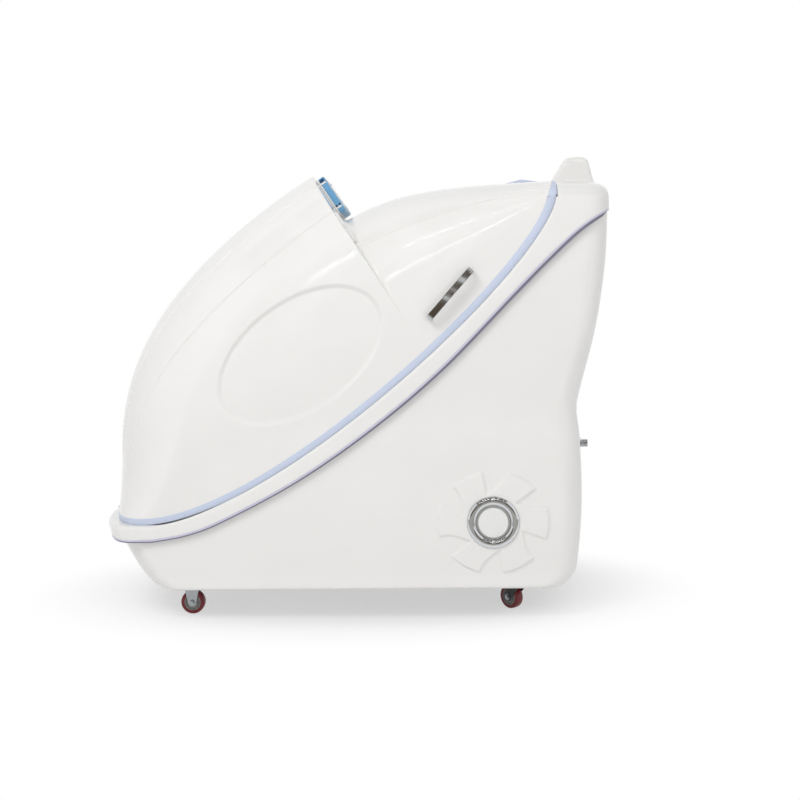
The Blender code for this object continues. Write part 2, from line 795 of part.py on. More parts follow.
def hood_crown(share):
    a = flat(LID_NOSE_X, lid_edge(0.0).z)
    d = flat(HOOD_TOP_X, HOOD_TOP_Z)
    return cubic(a, a + flat(0.0, HOOD_NOSE_PULL), d + flat(*HOOD_TOP_PULL), d, share)


STEP_EDGE = lid_edge(STEP_SHARE)
STEP_TOP = flat(HOOD_TOP_X, HOOD_TOP_Z)
STEP_FOOT = STEP_EDGE.lerp(STEP_TOP, 1 - STEP_DEPTH)


def deck_crown(share):
    d = flat(LEDGE_REAR_X, COWL_TOP_Z)
    b = STEP_FOOT + flat(*DECK_PULL)
    return cubic(STEP_FOOT, b, b.lerp(d, 0.5), d, share)


def arch_angles():
    quarter = [math.pi / 2 * k / ARCH_COLUMNS for k in range(ARCH_COLUMNS + 1)]
    quarter = [a for a in quarter if all(abs(a - c) > math.radians(2.5) for c in CREASE_ANGLES)]
    for crease in CREASE_ANGLES:
        quarter += [crease - CREASE_STEP, crease + CREASE_STEP]
    quarter.sort()
    return quarter + [math.pi - a for a in reversed(quarter[:-1])]


def rib(edge, crown, rises, power):
    run = crown - edge
    row = []
    for angle in arch_angles():
        c, s = arch(angle, power)
        lift = sum(r for r, crease in zip(rises, CREASE_ANGLES) if crease < angle < math.pi - crease)
        row.append(edge + run * (s + lift / run.length) + Vector((0, -LID_HALF_WIDTH * c, 0)))
    return row


def hood_rises(share):
    fade = min(max((share - CREASE_FROM) / CREASE_FADE, 0.0), 1.0)
    return (CREASE_RISE * fade, CREASE_RISE * fade)


lid_rows = []
for k, share in enumerate(HOOD_SHARES):
    along = k / HOOD_RIBS
    power = NOSE_POWER + (ARCH_POWER - NOSE_POWER) * min(along / ARCH_FROM, 1.0)
    lid_rows.append(rib(lid_edge(share), hood_crown(along), hood_rises(along), power))
for k, share in enumerate(DECK_SHARES):
    lid_rows.append(rib(lid_edge(share), deck_crown(k / DECK_RIBS), (CREASE_RISE, 0.0), ARCH_POWER))
lid = loft("lid_shell", list(reversed(lid_rows)), GELCOAT, LID_WALL, even=False)
bake(lid)
LID_SKIN = BVHTree.FromObject(lid, bpy.context.evaluated_depsgraph_get())


def lid_y(x, z):
    return LID_SKIN.ray_cast(Vector((x, -1.0, z)), Vector((0, 1, 0)))[0].y


def lid_room(x, z, side):
    return LID_SKIN.ray_cast(Vector((x, 0.0, z)), Vector((0, side, 0)))[3]


def deck_z(x, y):
    return LID_SKIN.ray_cast(Vector((x, y, 2.0)), Vector((0, 0, -1)))[0].z


# Oval recess: a cutter that follows the flank at an even depth
def oval_cutter(name):
    bm = bmesh.new()
    sheets = []
    for depth in (-0.03, OVAL_DEPTH):
        rings = []
        for k in range(1, OVAL_RINGS + 1):
            ring = []
            for n in range(OVAL_STEPS):
                turn = 2 * math.pi * n / OVAL_STEPS
                a = OVAL_LONG * math.cos(turn) * k / OVAL_RINGS
                b = OVAL_SHORT * math.sin(turn) * k / OVAL_RINGS
                x = OVAL_CENTRE[0] + a * math.cos(OVAL_TILT) - b * math.sin(OVAL_TILT)
                z = OVAL_CENTRE[1] + a * math.sin(OVAL_TILT) + b * math.cos(OVAL_TILT)
                ring.append(bm.verts.new((x, lid_y(x, z) + depth, z)))
            rings.append(ring)
        centre = bm.verts.new((OVAL_CENTRE[0], lid_y(*OVAL_CENTRE) + depth, OVAL_CENTRE[1]))
        for n in range(OVAL_STEPS):
            bm.faces.new((centre, rings[0][n], rings[0][(n + 1) % OVAL_STEPS]))
        for inner, outer in zip(rings, rings[1:]):
            for n in range(OVAL_STEPS):
                m = (n + 1) % OVAL_STEPS
                bm.faces.new((inner[n], inner[m], outer[m], outer[n]))
        sheets.append(rings[-1])
    for n in range(OVAL_STEPS):
        m = (n + 1) % OVAL_STEPS
        bm.faces.new((sheets[0][n], sheets[0][m], sheets[1][m], sheets[1][n]))
    return place(name, finish_mesh(bm, name), GELCOAT)


oval = oval_cutter("oval_left")
combine(lid, twin("oval_right", oval))
combine(lid, oval)


# Neck notch, rounded at its foot end, with a pale blue bead round it
def notch_line(half, start, end):
    line = [(start, -half)]
    for k in range(13):
        turn = math.pi * k / 12
        line.append((end + half - half * math.sin(turn), -half * math.cos(turn)))
    return line + [(start, half)]


NOTCH_END_X = LEDGE_REAR_X - NOTCH_DEPTH
combine(lid, prism("notch", notch_line(NOTCH_HALF_WIDTH, LEDGE_REAR_X + 0.05, NOTCH_END_X), "Z", 0.9, 1.4))
bead_half = NOTCH_HALF_WIDTH - NOTCH_BEAD - GAP
bead_line = notch_line(bead_half, LEDGE_REAR_X - BEAD_END_GAP, NOTCH_END_X + NOTCH_BEAD + GAP)
bead_points = [(x, y, deck_z(x, y) - LID_WALL / 2) for x, y in bead_line]
tube("neck_bead", bead_points, NOTCH_BEAD, BLUE_RUBBER)
bake(lid)


# Pale blue edge band between lid and ledge, all round but the rear
def trim_row(share, side):
    low = ledge(share) + ledge_up(share) * GAP
    high = lid_edge(share) - ledge_up(share) * TRIM_TOP_GAP
    out = Vector((0, side * LID_HALF_WIDTH, 0))
    return [low + out, high + out]


side_shares = HOOD_SHARES[1:] + DECK_SHARES[1:]
trim_rows = [trim_row(share, -1) for share in reversed(side_shares)]
for angle in arch_angles():
    c, s = arch(angle, NOSE_POWER)
    spot = lid_edge(0.0).lerp(hood_crown(0.0), s) + Vector((0, -LID_HALF_WIDTH * c, 0))
    low, high = spot.copy(), spot.copy()
    low.z = LEDGE_FOOT_Z + GAP
    high.z -= TRIM_TOP_GAP
    trim_rows.append([low, high])
trim_rows += [trim_row(share, 1) for share in side_shares]
bake(loft("lid_edge_band", trim_rows, BLUE_RUBBER, TRIM_THICK))


# Pull handles: flat chrome bows standing off the flanks
def bow_outline():
    half = HANDLE_LENGTH / 2
    inner = half - HANDLE_BAR
    top = HANDLE_STAND
    outside, inside = [], []
    for side in (-1, 1):
        for k in range(5):
            turn = math.pi / 2 * k / 4
            turn = turn if side < 0 else math.pi / 2 - turn
            r = HANDLE_ROUND
            outside.append((side * (half - r + r * math.cos(turn)), top - r + r * math.sin(turn)))
            r = HANDLE_ROUND - HANDLE_BAR
            rise = top - HANDLE_BAR - r + r * math.sin(turn)
            inside.append((side * (inner - r + r * math.cos(turn)), rise))
    line = [(-half, 0.0)] + outside + [(half, 0.0), (inner, 0.0)]
    return line + list(reversed(inside)) + [(-inner, 0.0)]


def flank_point(along, beside=0.0):
    x = HANDLE_CENTRE[0] + along * math.cos(HANDLE_TILT) - beside * math.sin(HANDLE_TILT)
    z = HANDLE_CENTRE[1] + along * math.sin(HANDLE_TILT) + beside * math.cos(HANDLE_TILT)
    return Vector((x, lid_y(x, z), z))


reach = HANDLE_LENGTH / 2 - HANDLE_BAR / 2
across = (flank_point(reach) - flank_point(-reach)).normalized()
outward = across.cross(flank_point(0.0, 0.02) - flank_point(0.0)).normalized()
outward = -outward if outward.y > 0 else outward
middle = (flank_point(reach) + flank_point(-reach)) / 2
handle = prism("handle_left", bow_outline(), "Z", -HANDLE_WIDTH / 2, HANDLE_WIDTH / 2, CHROME)
bake(round_edges(handle, 0.0012, 1, 60.0))
seat_on(handle, middle + outward * (GAP + 0.0003), across, outward)
twin("handle_right", handle)

# Control panel on the step face: housing, screen and push keys
face_up = (STEP_TOP - STEP_EDGE).normalized()
face_out = flat(face_up.z, -face_up.x)
face_across = Vector((0, 1, 0))
panel_middle = STEP_TOP - face_up * (PANEL_FROM_TOP + PANEL_HEIGHT / 2) + face_out * GAP
panel_size = (PANEL_WIDTH, PANEL_HEIGHT, PANEL_THICK)
panel = block("panel_housing", (0, 0, PANEL_THICK / 2), panel_size, PANEL_BLUE)
bake(round_edges(panel, PANEL_ROUND, 3))
pocket = (SCREEN_WIDTH + 2 * GAP, SCREEN_HEIGHT + 2 * GAP, 2 * (SCREEN_THICK + GAP))
combine(panel, block("screen_pocket", (0, SCREEN_UP, PANEL_THICK), pocket))
key_spots = [(KEY_PITCH * (k - (KEY_COUNT - 1) / 2), -KEY_DOWN) for k in range(KEY_COUNT)]
for k, (x, y) in enumerate(key_spots):
    well = (KEY_WIDTH + 2 * KEY_FIT, KEY_HEIGHT + 2 * KEY_FIT, 2 * KEY_WELL)
    combine(panel, block("key_well_%d" % k, (x, y, PANEL_THICK), well))
bake(panel)
seat_on(panel, panel_middle, face_across, face_up)
screen = block("panel_screen", (0, SCREEN_UP, PANEL_THICK - SCREEN_THICK / 2),
               (SCREEN_WIDTH, SCREEN_HEIGHT, SCREEN_THICK), SCREEN_GLASS)
seat_on(screen, panel_middle, face_across, face_up)
for name, (x, y) in zip(("key_left", "key_middle", "key_right"), key_spots):
    tall = KEY_DEPTH + KEY_PROUD
    key = block(name, (x, y, PANEL_THICK + KEY_PROUD - tall / 2), (KEY_WIDTH, KEY_HEIGHT, tall), KEY_WHITE)
    bake(round_edges(key, 0.001, 2))
    seat_on(key, panel_middle, face_across, face_up)
    pivot_at(key, panel_middle + face_across * x + face_up * y + face_out * PANEL_THICK)

# Lid hinges: base leaf, lid leaf and pin, on one axis ahead of the nose
HINGE = Vector((LID_NOSE_X - HINGE_AHEAD, 0.0, LEDGE_FOOT_Z + HINGE_UP))
ledge_top = LEDGE_FOOT_Z + GAP
third = HINGE_WIDTH / 3


def knuckle(name, y, length, mat=None):
    profile = [
        (HINGE_PIN + RUN_GAP, length / 2),
        (HINGE_KNUCKLE, length / 2),
        (HINGE_KNUCKLE, -length / 2),
        (HINGE_PIN + RUN_GAP, -length / 2),
    ]
    return turned(name, profile, (HINGE.x, y, HINGE.z), (0, 1, 0), mat, 10)


def pin_clear(name, obj, y):
    way = rod(name, (HINGE.x, y, HINGE.z), (0, 1, 0), HINGE_PIN + RUN_GAP, HINGE_WIDTH * 1.2)
    return combine(obj, way)


mid_y = -HINGE_OFFSET_Y
knuckle_clear = HINGE_KNUCKLE + RUN_GAP
base_leaf = block("hinge_base_left", (HINGE.x - 0.003, mid_y, ledge_top + HINGE_LEAF / 2),
                  (0.020, HINGE_WIDTH, HINGE_LEAF), STAINLESS)
for k, sign in enumerate((-1, 1)):
    y = mid_y + sign * third
    web = block("base_web_%d" % k, (HINGE.x, y, (ledge_top + HINGE.z) / 2),
                (2 * HINGE_KNUCKLE, third - 2 * RUN_GAP, HINGE.z - ledge_top), STAINLESS)
    combine(base_leaf, web, "UNION")
    combine(base_leaf, knuckle("base_knuckle_%d" % k, y, third - 2 * RUN_GAP), "UNION")
pin_clear("base_pin_way", base_leaf, mid_y)
bake(base_leaf)
lid_leaf_x = LID_NOSE_X - GAP - HINGE_LEAF / 2 - 0.0006
lid_leaf = block("hinge_lid_left", (lid_leaf_x, mid_y, HINGE.z + LID_LEAF_HEIGHT / 2 + HINGE_KNUCKLE),
                 (HINGE_LEAF, HINGE_WIDTH, LID_LEAF_HEIGHT), STAINLESS)
arm = block("lid_arm", ((HINGE.x + lid_leaf_x) / 2, mid_y, HINGE.z + HINGE_KNUCKLE / 2 + 0.002),
            (lid_leaf_x - HINGE.x + HINGE_LEAF, third - 2 * RUN_GAP, HINGE_KNUCKLE + 0.004), STAINLESS)
combine(lid_leaf, arm, "UNION")
combine(lid_leaf, knuckle("lid_knuckle", mid_y, third - 2 * RUN_GAP), "UNION")
pin_clear("lid_pin_way", lid_leaf, mid_y)
bake(lid_leaf)
pin = rod("hinge_pin_left", (HINGE.x, mid_y, HINGE.z), (0, 1, 0), HINGE_PIN, HINGE_WIDTH + 0.004, STAINLESS)
for piece in (base_leaf, lid_leaf, pin):
    twin(piece.name.replace("left", "right"), piece)


# Gas struts: tube on the base pin, rod on the lid pin, brackets on tub and lid
def strut_pin(angle):
    return HINGE + flat(math.cos(angle), math.sin(angle)) * STRUT_REACH


BASE_PIN = strut_pin(STRUT_BASE_ANGLE)
LID_PIN = strut_pin(STRUT_BASE_ANGLE + STRUT_SPREAD)
tub_wall_y = -(OPENING_HALF - GAP - TUB_WALL)
pad_reach = (-BRACKET_PAD / 2, 0, BRACKET_PAD / 2)


def lid_wall_y(side):
    return -min(lid_room(LID_PIN.x + a, LID_PIN.z + b, side) for a in pad_reach for b in pad_reach)


BASE_PIN.y = max(lid_wall_y(-1), lid_wall_y(1), tub_wall_y) + STRUT_STANDOFF
LID_PIN.y = BASE_PIN.y
strut_run = (LID_PIN - BASE_PIN).normalized()


def strut_eye(name, centre, mat=None):
    return rod(name, centre, (0, 1, 0), STRUT_EYE, STRUT_EYE_WIDTH, mat)


def strut_pin_way(name, obj, centre):
    return combine(obj, rod(name, centre, (0, 1, 0), STRUT_PIN + RUN_GAP, 0.05))


tube_profile = [
    (0.0, STRUT_TUBE_FROM),
    (STRUT_BORE, STRUT_TUBE_FROM),
    (STRUT_BORE, STRUT_TUBE_TO),
    (STRUT_TUBE, STRUT_TUBE_TO),
    (STRUT_TUBE, STRUT_TUBE_FROM - 0.005),
    (STRUT_NECK, STRUT_TUBE_FROM - 0.012),
    (STRUT_NECK, 0.006),
    (0.0, 0.006),
]
strut_tube = turned("strut_tube_left", tube_profile, BASE_PIN, strut_run, BLACK_STEEL, 14)
combine(strut_tube, strut_eye("tube_eye", BASE_PIN), "UNION")
strut_pin_way("tube_pin_way", strut_tube, BASE_PIN)
bake(strut_tube)
rod_middle = LID_PIN - strut_run * (STRUT_ROD_LENGTH + 0.004) / 2
strut_rod = rod("strut_rod_left", rod_middle, strut_run, STRUT_ROD, STRUT_ROD_LENGTH - 0.004, CHROME, 12)
combine(strut_rod, strut_eye("rod_eye", LID_PIN), "UNION")
strut_pin_way("rod_pin_way", strut_rod, LID_PIN)
bake(strut_rod)


def strut_bracket(name, spot, wall_y):
    pad_y = wall_y + GAP + BRACKET_PAD_THICK / 2
    pad = block(name, (spot.x, pad_y, spot.z), (BRACKET_PAD, BRACKET_PAD_THICK, BRACKET_PAD), ZINC)
    end = spot.y + STRUT_EYE_WIDTH / 2 + 0.003
    shoulder = spot.y - STRUT_EYE_WIDTH / 2 - 2 * RUN_GAP
    stud_at = (spot.x, (pad_y + end) / 2, spot.z)
    stud = rod(name + "_stud", stud_at, (0, 1, 0), STRUT_PIN, end - pad_y)
    boss_at = (spot.x, (pad_y + shoulder) / 2, spot.z)
    boss = rod(name + "_boss", boss_at, (0, 1, 0), STRUT_EYE, shoulder - pad_y)
    combine(pad, stud, "UNION")
    combine(pad, boss, "UNION")
    return bake(pad)


strut_bracket("strut_base_bracket_left", BASE_PIN, tub_wall_y)
strut_bracket("strut_lid_bracket_left", LID_PIN, lid_wall_y(-1))
mirrored = strut_bracket("mirrored_bracket", LID_PIN, lid_wall_y(1))
twin("strut_lid_bracket_right", mirrored)
bpy.data.objects.remove(mirrored)
for stem in ("strut_tube", "strut_rod", "strut_base_bracket"):
    other = twin(stem + "_right", bpy.data.objects[stem + "_left"])
    if stem in ("strut_tube", "strut_rod"):
        spot = BASE_PIN if stem == "strut_tube" else LID_PIN
        pivot_at(bpy.data.objects[stem + "_left"], spot)
        pivot_at(other, (spot.x, -spot.y, spot.z))

# Chassis frame: two side tubes and four cross tubes
frame_z = FRAME_BOTTOM_Z + FRAME_TUBE / 2
frame_middle = (FRAME_FOOT_X + FRAME_HEAD_X) / 2
frame_y = FRAME_HALF_WIDTH - FRAME_TUBE / 2
side_tube = (FRAME_HEAD_X - FRAME_FOOT_X, FRAME_TUBE, FRAME_TUBE)
frame = block("chassis_frame", (frame_middle, -frame_y, frame_z), side_tube, FRAME_GREY)
combine(frame, block("frame_far", (frame_middle, frame_y, frame_z), side_tube), "UNION")
cross_x = (FRONT_CASTER_X, BOILER_X - BOILER_LENGTH / 3, BOILER_X + BOILER_LENGTH / 3, REAR_CASTER_X)
for k, x in enumerate(cross_x):
    bar = block("frame_cross_%d" % k, (x, 0, frame_z), (FRAME_TUBE, 2 * frame_y, FRAME_TUBE - 0.001))
    combine(frame, bar, "UNION")
bake(frame)


# Casters: fixed pair at the foot, swivel pair at the head
def wheel(tag, spot):
    half = WHEEL_WIDTH / 2
    bed = WHEEL_RADIUS - TYRE_DEPTH
    tyre_profile = [
        (bed + GAP, half),
        (WHEEL_RADIUS - 0.003, half),
        (WHEEL_RADIUS, half - 0.004),
        (WHEEL_RADIUS, -half + 0.004),
        (WHEEL_RADIUS - 0.003, -half),
        (bed + GAP, -half),
    ]
    core_profile = [
        (AXLE_RADIUS + RUN_GAP, half),
        (0.009, half),
        (0.010, half - 0.004),
        (bed - 0.002, half - 0.004),
        (bed, half),
        (bed, -half),
        (bed - 0.002, -half + 0.004),
        (0.010, -half + 0.004),
        (0.009, -half),
        (AXLE_RADIUS + RUN_GAP, -half),
    ]
    tyre = turned("tyre_" + tag, tyre_profile, spot, (0, 1, 0), TYRE_RED, 20)
    core = turned("wheel_core_" + tag, core_profile, spot, (0, 1, 0), CORE_GREY, 12)
    return [tyre, core]


LEG_Y = WHEEL_WIDTH / 2 + FORK_SIDE_GAP + FORK_LEG / 2


def fork(name, crown, axle, top_z, mat):
    deck_size = (FORK_WIDTH, 2 * LEG_Y + FORK_LEG, FORK_LEG)
    deck = block(name, (*crown, top_z - FORK_LEG / 2), deck_size, mat)
    low = axle[2]
    for side in (-1, 1):
        half = FORK_WIDTH / 2 - 0.001
        outline = [(crown[0] - half, top_z - 0.0005), (crown[0] + half, top_z - 0.0005)]
        for k in range(9):
            turn = -math.pi * k / 8
            outline.append((axle[0] + FORK_BOSS * math.cos(turn), low + FORK_BOSS * math.sin(turn)))
        y = crown[1] + side * LEG_Y
        leg = prism("%s_leg_%d" % (name, side), outline, "Y", y - FORK_LEG / 2, y + FORK_LEG / 2)
        combine(deck, leg, "UNION")
    combine(deck, rod(name + "_axle_way", axle, (0, 1, 0), AXLE_RADIUS + GAP, 0.08))
    return deck


def axle_bolt(tag, spot):
    bolt = rod("axle_" + tag, spot, (0, 1, 0), AXLE_RADIUS, 2 * LEG_Y + FORK_LEG + 0.008, ZINC, 10)
    for side in (-1, 1):
        y = spot[1] + side * (LEG_Y + FORK_LEG / 2 + GAP + 0.002)
        name = "axle_%s_head_%d" % (tag, side)
        combine(bolt, rod(name, (spot[0], y, spot[2]), (0, 1, 0), AXLE_HEAD, 0.004, None, 6), "UNION")
    return bake(bolt)


plate_top = FRAME_BOTTOM_Z - GAP
plate_low = plate_top - CASTER_PLATE[2]
for tag, side in (("front_left", -1), ("front_right", 1)):
    y = side * CASTER_HALF_TRACK
    axle = (FRONT_CASTER_X, y, WHEEL_RADIUS)
    holder = fork("caster_fork_" + tag, (FRONT_CASTER_X, y), axle, plate_low + 0.0005, ZINC)
    plate = block("plate_" + tag, (FRONT_CASTER_X, y, (plate_top + plate_low) / 2), CASTER_PLATE)
    combine(holder, plate, "UNION")
    bake(holder)
    axle_bolt(tag, axle)
    for piece in wheel(tag, axle):
        pivot_at(piece, axle)

for tag, side in (("rear_left", -1), ("rear_right", 1)):
    y = side * REAR_HALF_TRACK
    crown = (REAR_CASTER_X, y)
    axle = (REAR_CASTER_X - FORK_TRAIL, y, WHEEL_RADIUS)
    plate = block("caster_plate_" + tag, (*crown, (plate_top + plate_low) / 2), CASTER_PLATE, ZINC)
    race_low = plate_low - RACE_HEIGHT
    race_at = (*crown, plate_low - RACE_HEIGHT / 2 + 0.0005)
    combine(plate, rod("race_" + tag, race_at, (0, 0, 1), RACE_RADIUS, RACE_HEIGHT + 0.001), "UNION")
    bake(plate)
    holder = fork("caster_fork_" + tag, crown, axle, race_low - RUN_GAP, BLACK_STEEL)
    bake(holder)
    turning = [holder, axle_bolt(tag, axle)] + wheel(tag, axle)
    for piece in turning:
        swing(piece, side * SWIVEL_REST, "Z", (*crown, 0.0))
    turn = Matrix.Rotation(side * SWIVEL_REST, 3, "Z")
    middle = Vector((*crown, WHEEL_RADIUS)) - turn @ Vector((FORK_TRAIL, 0, 0))
    pivot_at(holder, (*crown, race_low))
    pivot_at(turning[1], (*crown, race_low))
    pivot_at(turning[2], middle)
    pivot_at(turning[3], middle)

# Water inlet with locknut, boiler, feed pipe, steam pipe and nozzle
inlet_profile = [
    (INLET_BORE, INLET_OUT),
    (INLET_RADIUS, INLET_OUT),
    (INLET_RADIUS, -WALL - 0.002),
    (INLET_COLLAR, -WALL - 0.002),
    (INLET_COLLAR, -INLET_IN),
    (INLET_BORE, -INLET_IN),
]
turned("water_inlet", inlet_profile, inlet_spot, (1, 0, 0), CHROME)
nut_corner = NUT_FLATS / 2 / math.cos(math.pi / 6)
nut_seat = max(skirt_back_x(INLET_Z - nut_corner), skirt_back_x(INLET_Z + nut_corner)) + GAP
nut_spot = (nut_seat + NUT_THICK / 2, INLET_Y, INLET_Z)
nut = rod("inlet_locknut", nut_spot, (1, 0, 0), nut_corner, NUT_THICK, CHROME, 6)
combine(nut, rod("nut_bore", inlet_spot, (1, 0, 0), INLET_RADIUS + GAP, 0.1, None, 16))
bake(nut)

boiler_z = FRAME_BOTTOM_Z + FRAME_TUBE + GAP + BOILER_FOOT + BOILER_RADIUS
end = BOILER_LENGTH / 2
boiler_profile = [
    (0.0, end),
    (0.014, end),
    (0.014, end - 0.012),
    (BOILER_RADIUS - 0.015, end - 0.012),
    (BOILER_RADIUS, end - 0.027),
    (BOILER_RADIUS, -end + 0.027),
    (BOILER_RADIUS - 0.015, -end + 0.012),
    (0.014, -end + 0.012),
    (0.014, -end),
    (0.0, -end),
]
boiler = turned("steam_boiler", boiler_profile, (BOILER_X, 0, boiler_z), (1, 0, 0), STAINLESS)
foot_top = boiler_z - BOILER_RADIUS * 0.8
foot_low = FRAME_BOTTOM_Z + FRAME_TUBE + GAP
for k, x in enumerate(cross_x[1:3]):
    saddle = block("boiler_saddle_%d" % k, (x, 0, (foot_top + foot_low) / 2),
                   (FRAME_TUBE, BOILER_RADIUS * 1.2, foot_top - foot_low))
    combine(boiler, saddle, "UNION")
bake(boiler)


def bend(a, b, c, radius=0.05):
    a, b, c = Vector(a), Vector(b), Vector(c)
    start = b + (a - b).normalized() * radius
    stop = b + (c - b).normalized() * radius
    return [start.lerp(b, u).lerp(b.lerp(stop, u), u) for u in (0.0, 0.25, 0.5, 0.75, 1.0)]


inlet_end = (INLET_WALL_X - INLET_IN - GAP, INLET_Y, INLET_Z)
drop_x = INLET_WALL_X - 0.085
drop_top = (drop_x, INLET_Y, INLET_Z)
drop_low = (drop_x, INLET_Y, boiler_z)
turn_in = (drop_x, 0.0, boiler_z)
boiler_in = (BOILER_X + end + GAP, 0.0, boiler_z)
feed = [inlet_end] + bend(inlet_end, drop_top, drop_low) + bend(drop_top, drop_low, turn_in)
feed += bend(drop_low, turn_in, boiler_in) + [boiler_in]
tube("feed_pipe", feed, PIPE_RADIUS, COPPER)
steam_turn = flat(SEAT_FRONT_X - RISER_FOOT_X, SEAT_FRONT_Z - TUB_FLOOR_Z).normalized()
nozzle_way = flat(-steam_turn.z, steam_turn.x)
riser_share = (NOZZLE_Z - TUB_FLOOR_Z) / (SEAT_FRONT_Z - TUB_FLOOR_Z)
nozzle_spot = flat(RISER_FOOT_X + (SEAT_FRONT_X - RISER_FOOT_X) * riser_share, NOZZLE_Z)
nozzle_profile = [
    (0.0, 0.010),
    (NOZZLE_RADIUS * 0.55, 0.010),
    (NOZZLE_RADIUS, 0.004),
    (NOZZLE_RADIUS, GAP),
    (NOZZLE_STEM, GAP),
    (NOZZLE_STEM, -0.022),
    (0.0, -0.022),
]
turned("steam_nozzle", nozzle_profile, nozzle_spot, nozzle_way, BRASS)
combine(tub, rod("nozzle_hole", nozzle_spot, nozzle_way, NOZZLE_STEM + RUN_GAP, 0.04, None, 16))
bake(tub)
nozzle_end = nozzle_spot - nozzle_way * (0.022 + GAP)
boiler_out = Vector((BOILER_X - end - PIPE_END, 0.0, boiler_z))
knee = (nozzle_end + boiler_out) / 2
knee.z = nozzle_end.z - (nozzle_end.x - knee.x) * nozzle_way.z / nozzle_way.x
steam = [boiler_out] + bend(boiler_out, knee, nozzle_end, 0.03) + [nozzle_end]
tube("steam_pipe", steam, PIPE_RADIUS, COPPER)

# Pieces that swing with the lid take the hinge axis as their origin
for name in ("lid_shell", "lid_edge_band", "neck_bead", "panel_housing", "panel_screen"):
    pivot_at(bpy.data.objects[name], HINGE)
for stem in ("handle", "hinge_lid", "strut_lid_bracket"):
    for tag in ("left", "right"):
        pivot_at(bpy.data.objects["%s_%s" % (stem, tag)], HINGE)
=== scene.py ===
import math

import bmesh
import bpy
from mathutils import Matrix, Vector
from mathutils.bvhtree import BVHTree


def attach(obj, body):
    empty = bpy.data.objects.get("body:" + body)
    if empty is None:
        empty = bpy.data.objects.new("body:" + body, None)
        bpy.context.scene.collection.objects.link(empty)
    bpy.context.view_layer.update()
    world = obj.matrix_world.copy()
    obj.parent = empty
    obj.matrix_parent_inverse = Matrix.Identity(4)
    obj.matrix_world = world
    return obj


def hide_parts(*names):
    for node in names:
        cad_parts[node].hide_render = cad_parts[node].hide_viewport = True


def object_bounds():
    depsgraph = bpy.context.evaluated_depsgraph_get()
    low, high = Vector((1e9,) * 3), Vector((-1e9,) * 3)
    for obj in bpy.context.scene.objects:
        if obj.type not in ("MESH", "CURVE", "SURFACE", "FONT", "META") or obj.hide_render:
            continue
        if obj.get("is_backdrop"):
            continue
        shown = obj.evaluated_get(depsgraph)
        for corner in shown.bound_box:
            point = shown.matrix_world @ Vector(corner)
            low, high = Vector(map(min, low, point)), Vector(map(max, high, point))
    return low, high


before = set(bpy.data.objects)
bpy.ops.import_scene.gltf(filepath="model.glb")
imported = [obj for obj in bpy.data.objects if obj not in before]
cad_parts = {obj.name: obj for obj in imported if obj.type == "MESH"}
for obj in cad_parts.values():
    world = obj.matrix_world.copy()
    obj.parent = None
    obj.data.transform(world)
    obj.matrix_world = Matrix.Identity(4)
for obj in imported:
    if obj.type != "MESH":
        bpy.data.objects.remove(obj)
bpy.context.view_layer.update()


# Chassis frame: square steel tubes welded into a ladder under the tub, then powder-coated grey.
# The solid carries over from the frame, hidden behind the skirt and seen only from below.


# An sRGB hex value as the linear colour that a socket takes
def linear(hex_colour):
    parts = [int(hex_colour[i:i + 2], 16) / 255 for i in (1, 3, 5)]
    return (*[c / 12.92 if c <= 0.04045 else ((c + 0.055) / 1.055) ** 2.4 for c in parts], 1.0)


def new_finish(name):
    mat = bpy.data.materials.new(name)
    mat.use_nodes = True
    return mat


# Adds a node, or takes the one of that name, and sets or links its sockets
def add_node(mat, kind, sockets, **settings):
    tree = mat.node_tree
    node = tree.nodes.get(kind) or tree.nodes.new(kind)
    for name, value in settings.items():
        setattr(node, name, value)
    for name, value in sockets.items():
        if isinstance(value, bpy.types.NodeSocket):
            tree.links.new(value, node.inputs[name])
        else:
            node.inputs[name].default_value = value
    return node


def coat_node(name, mat):
    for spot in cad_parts[name].material_slots:
        spot.link = "OBJECT"
        spot.material = mat


# Baked powder coat: grey, with a 2 mm pebble that breaks up its satin gloss
powder_coat = new_finish("grey_powder_coated_steel")
where = add_node(powder_coat, "ShaderNodeTexCoord", {}).outputs["Object"]
pebble = add_node(powder_coat, "ShaderNodeTexNoise", {"Vector": where, "Scale": 1 / 0.002, "Detail": 2.0})
patch = add_node(powder_coat, "ShaderNodeTexNoise", {"Vector": where, "Scale": 1 / 0.060, "Detail": 3.0})
tone = add_node(powder_coat, "ShaderNodeMix", {
    0: patch.outputs["Fac"], 6: linear("#6A6E72"), 7: linear("#777B7E")}, data_type="RGBA")
gloss = add_node(powder_coat, "ShaderNodeMapRange", {
    "Value": pebble.outputs["Fac"], "To Min": 0.42, "To Max": 0.58})
relief = add_node(powder_coat, "ShaderNodeBump", {
    "Strength": 0.3, "Distance": 0.0003, "Height": pebble.outputs["Fac"]})
add_node(powder_coat, "Principled BSDF", {
    "Base Color": tone.outputs[2], "Roughness": gloss.outputs["Result"], "Normal": relief.outputs["Normal"]})
coat_node("chassis_frame", powder_coat)


# Casters: pressed-steel forks, a fixed zinc-plated pair at the foot and a black swivel pair at
# the head, each with a dark red polyurethane tread cast on a grey nylon core and a bolt through it.


# An outline of (a, b, radius) corners, each softened into a short curve
def rounded(corners, steps=5):
    line = []
    for k, (a, b, radius) in enumerate(corners):
        spot = Vector((a, b))
        before = Vector(corners[k - 1][:2]) - spot
        after = Vector(corners[(k + 1) % len(corners)][:2]) - spot
        if radius == 0:
            line.append((a, b))
            continue
        reach = radius / math.tan(before.angle(after) / 2)
        reach = min(reach, 0.49 * before.length, 0.49 * after.length)
        start = spot + before.normalized() * reach
        stop = spot + after.normalized() * reach
        for n in range(steps + 1):
            u = n / steps
            line.append(tuple(start.lerp(spot, u).lerp(spot.lerp(stop, u), u)))
    return line


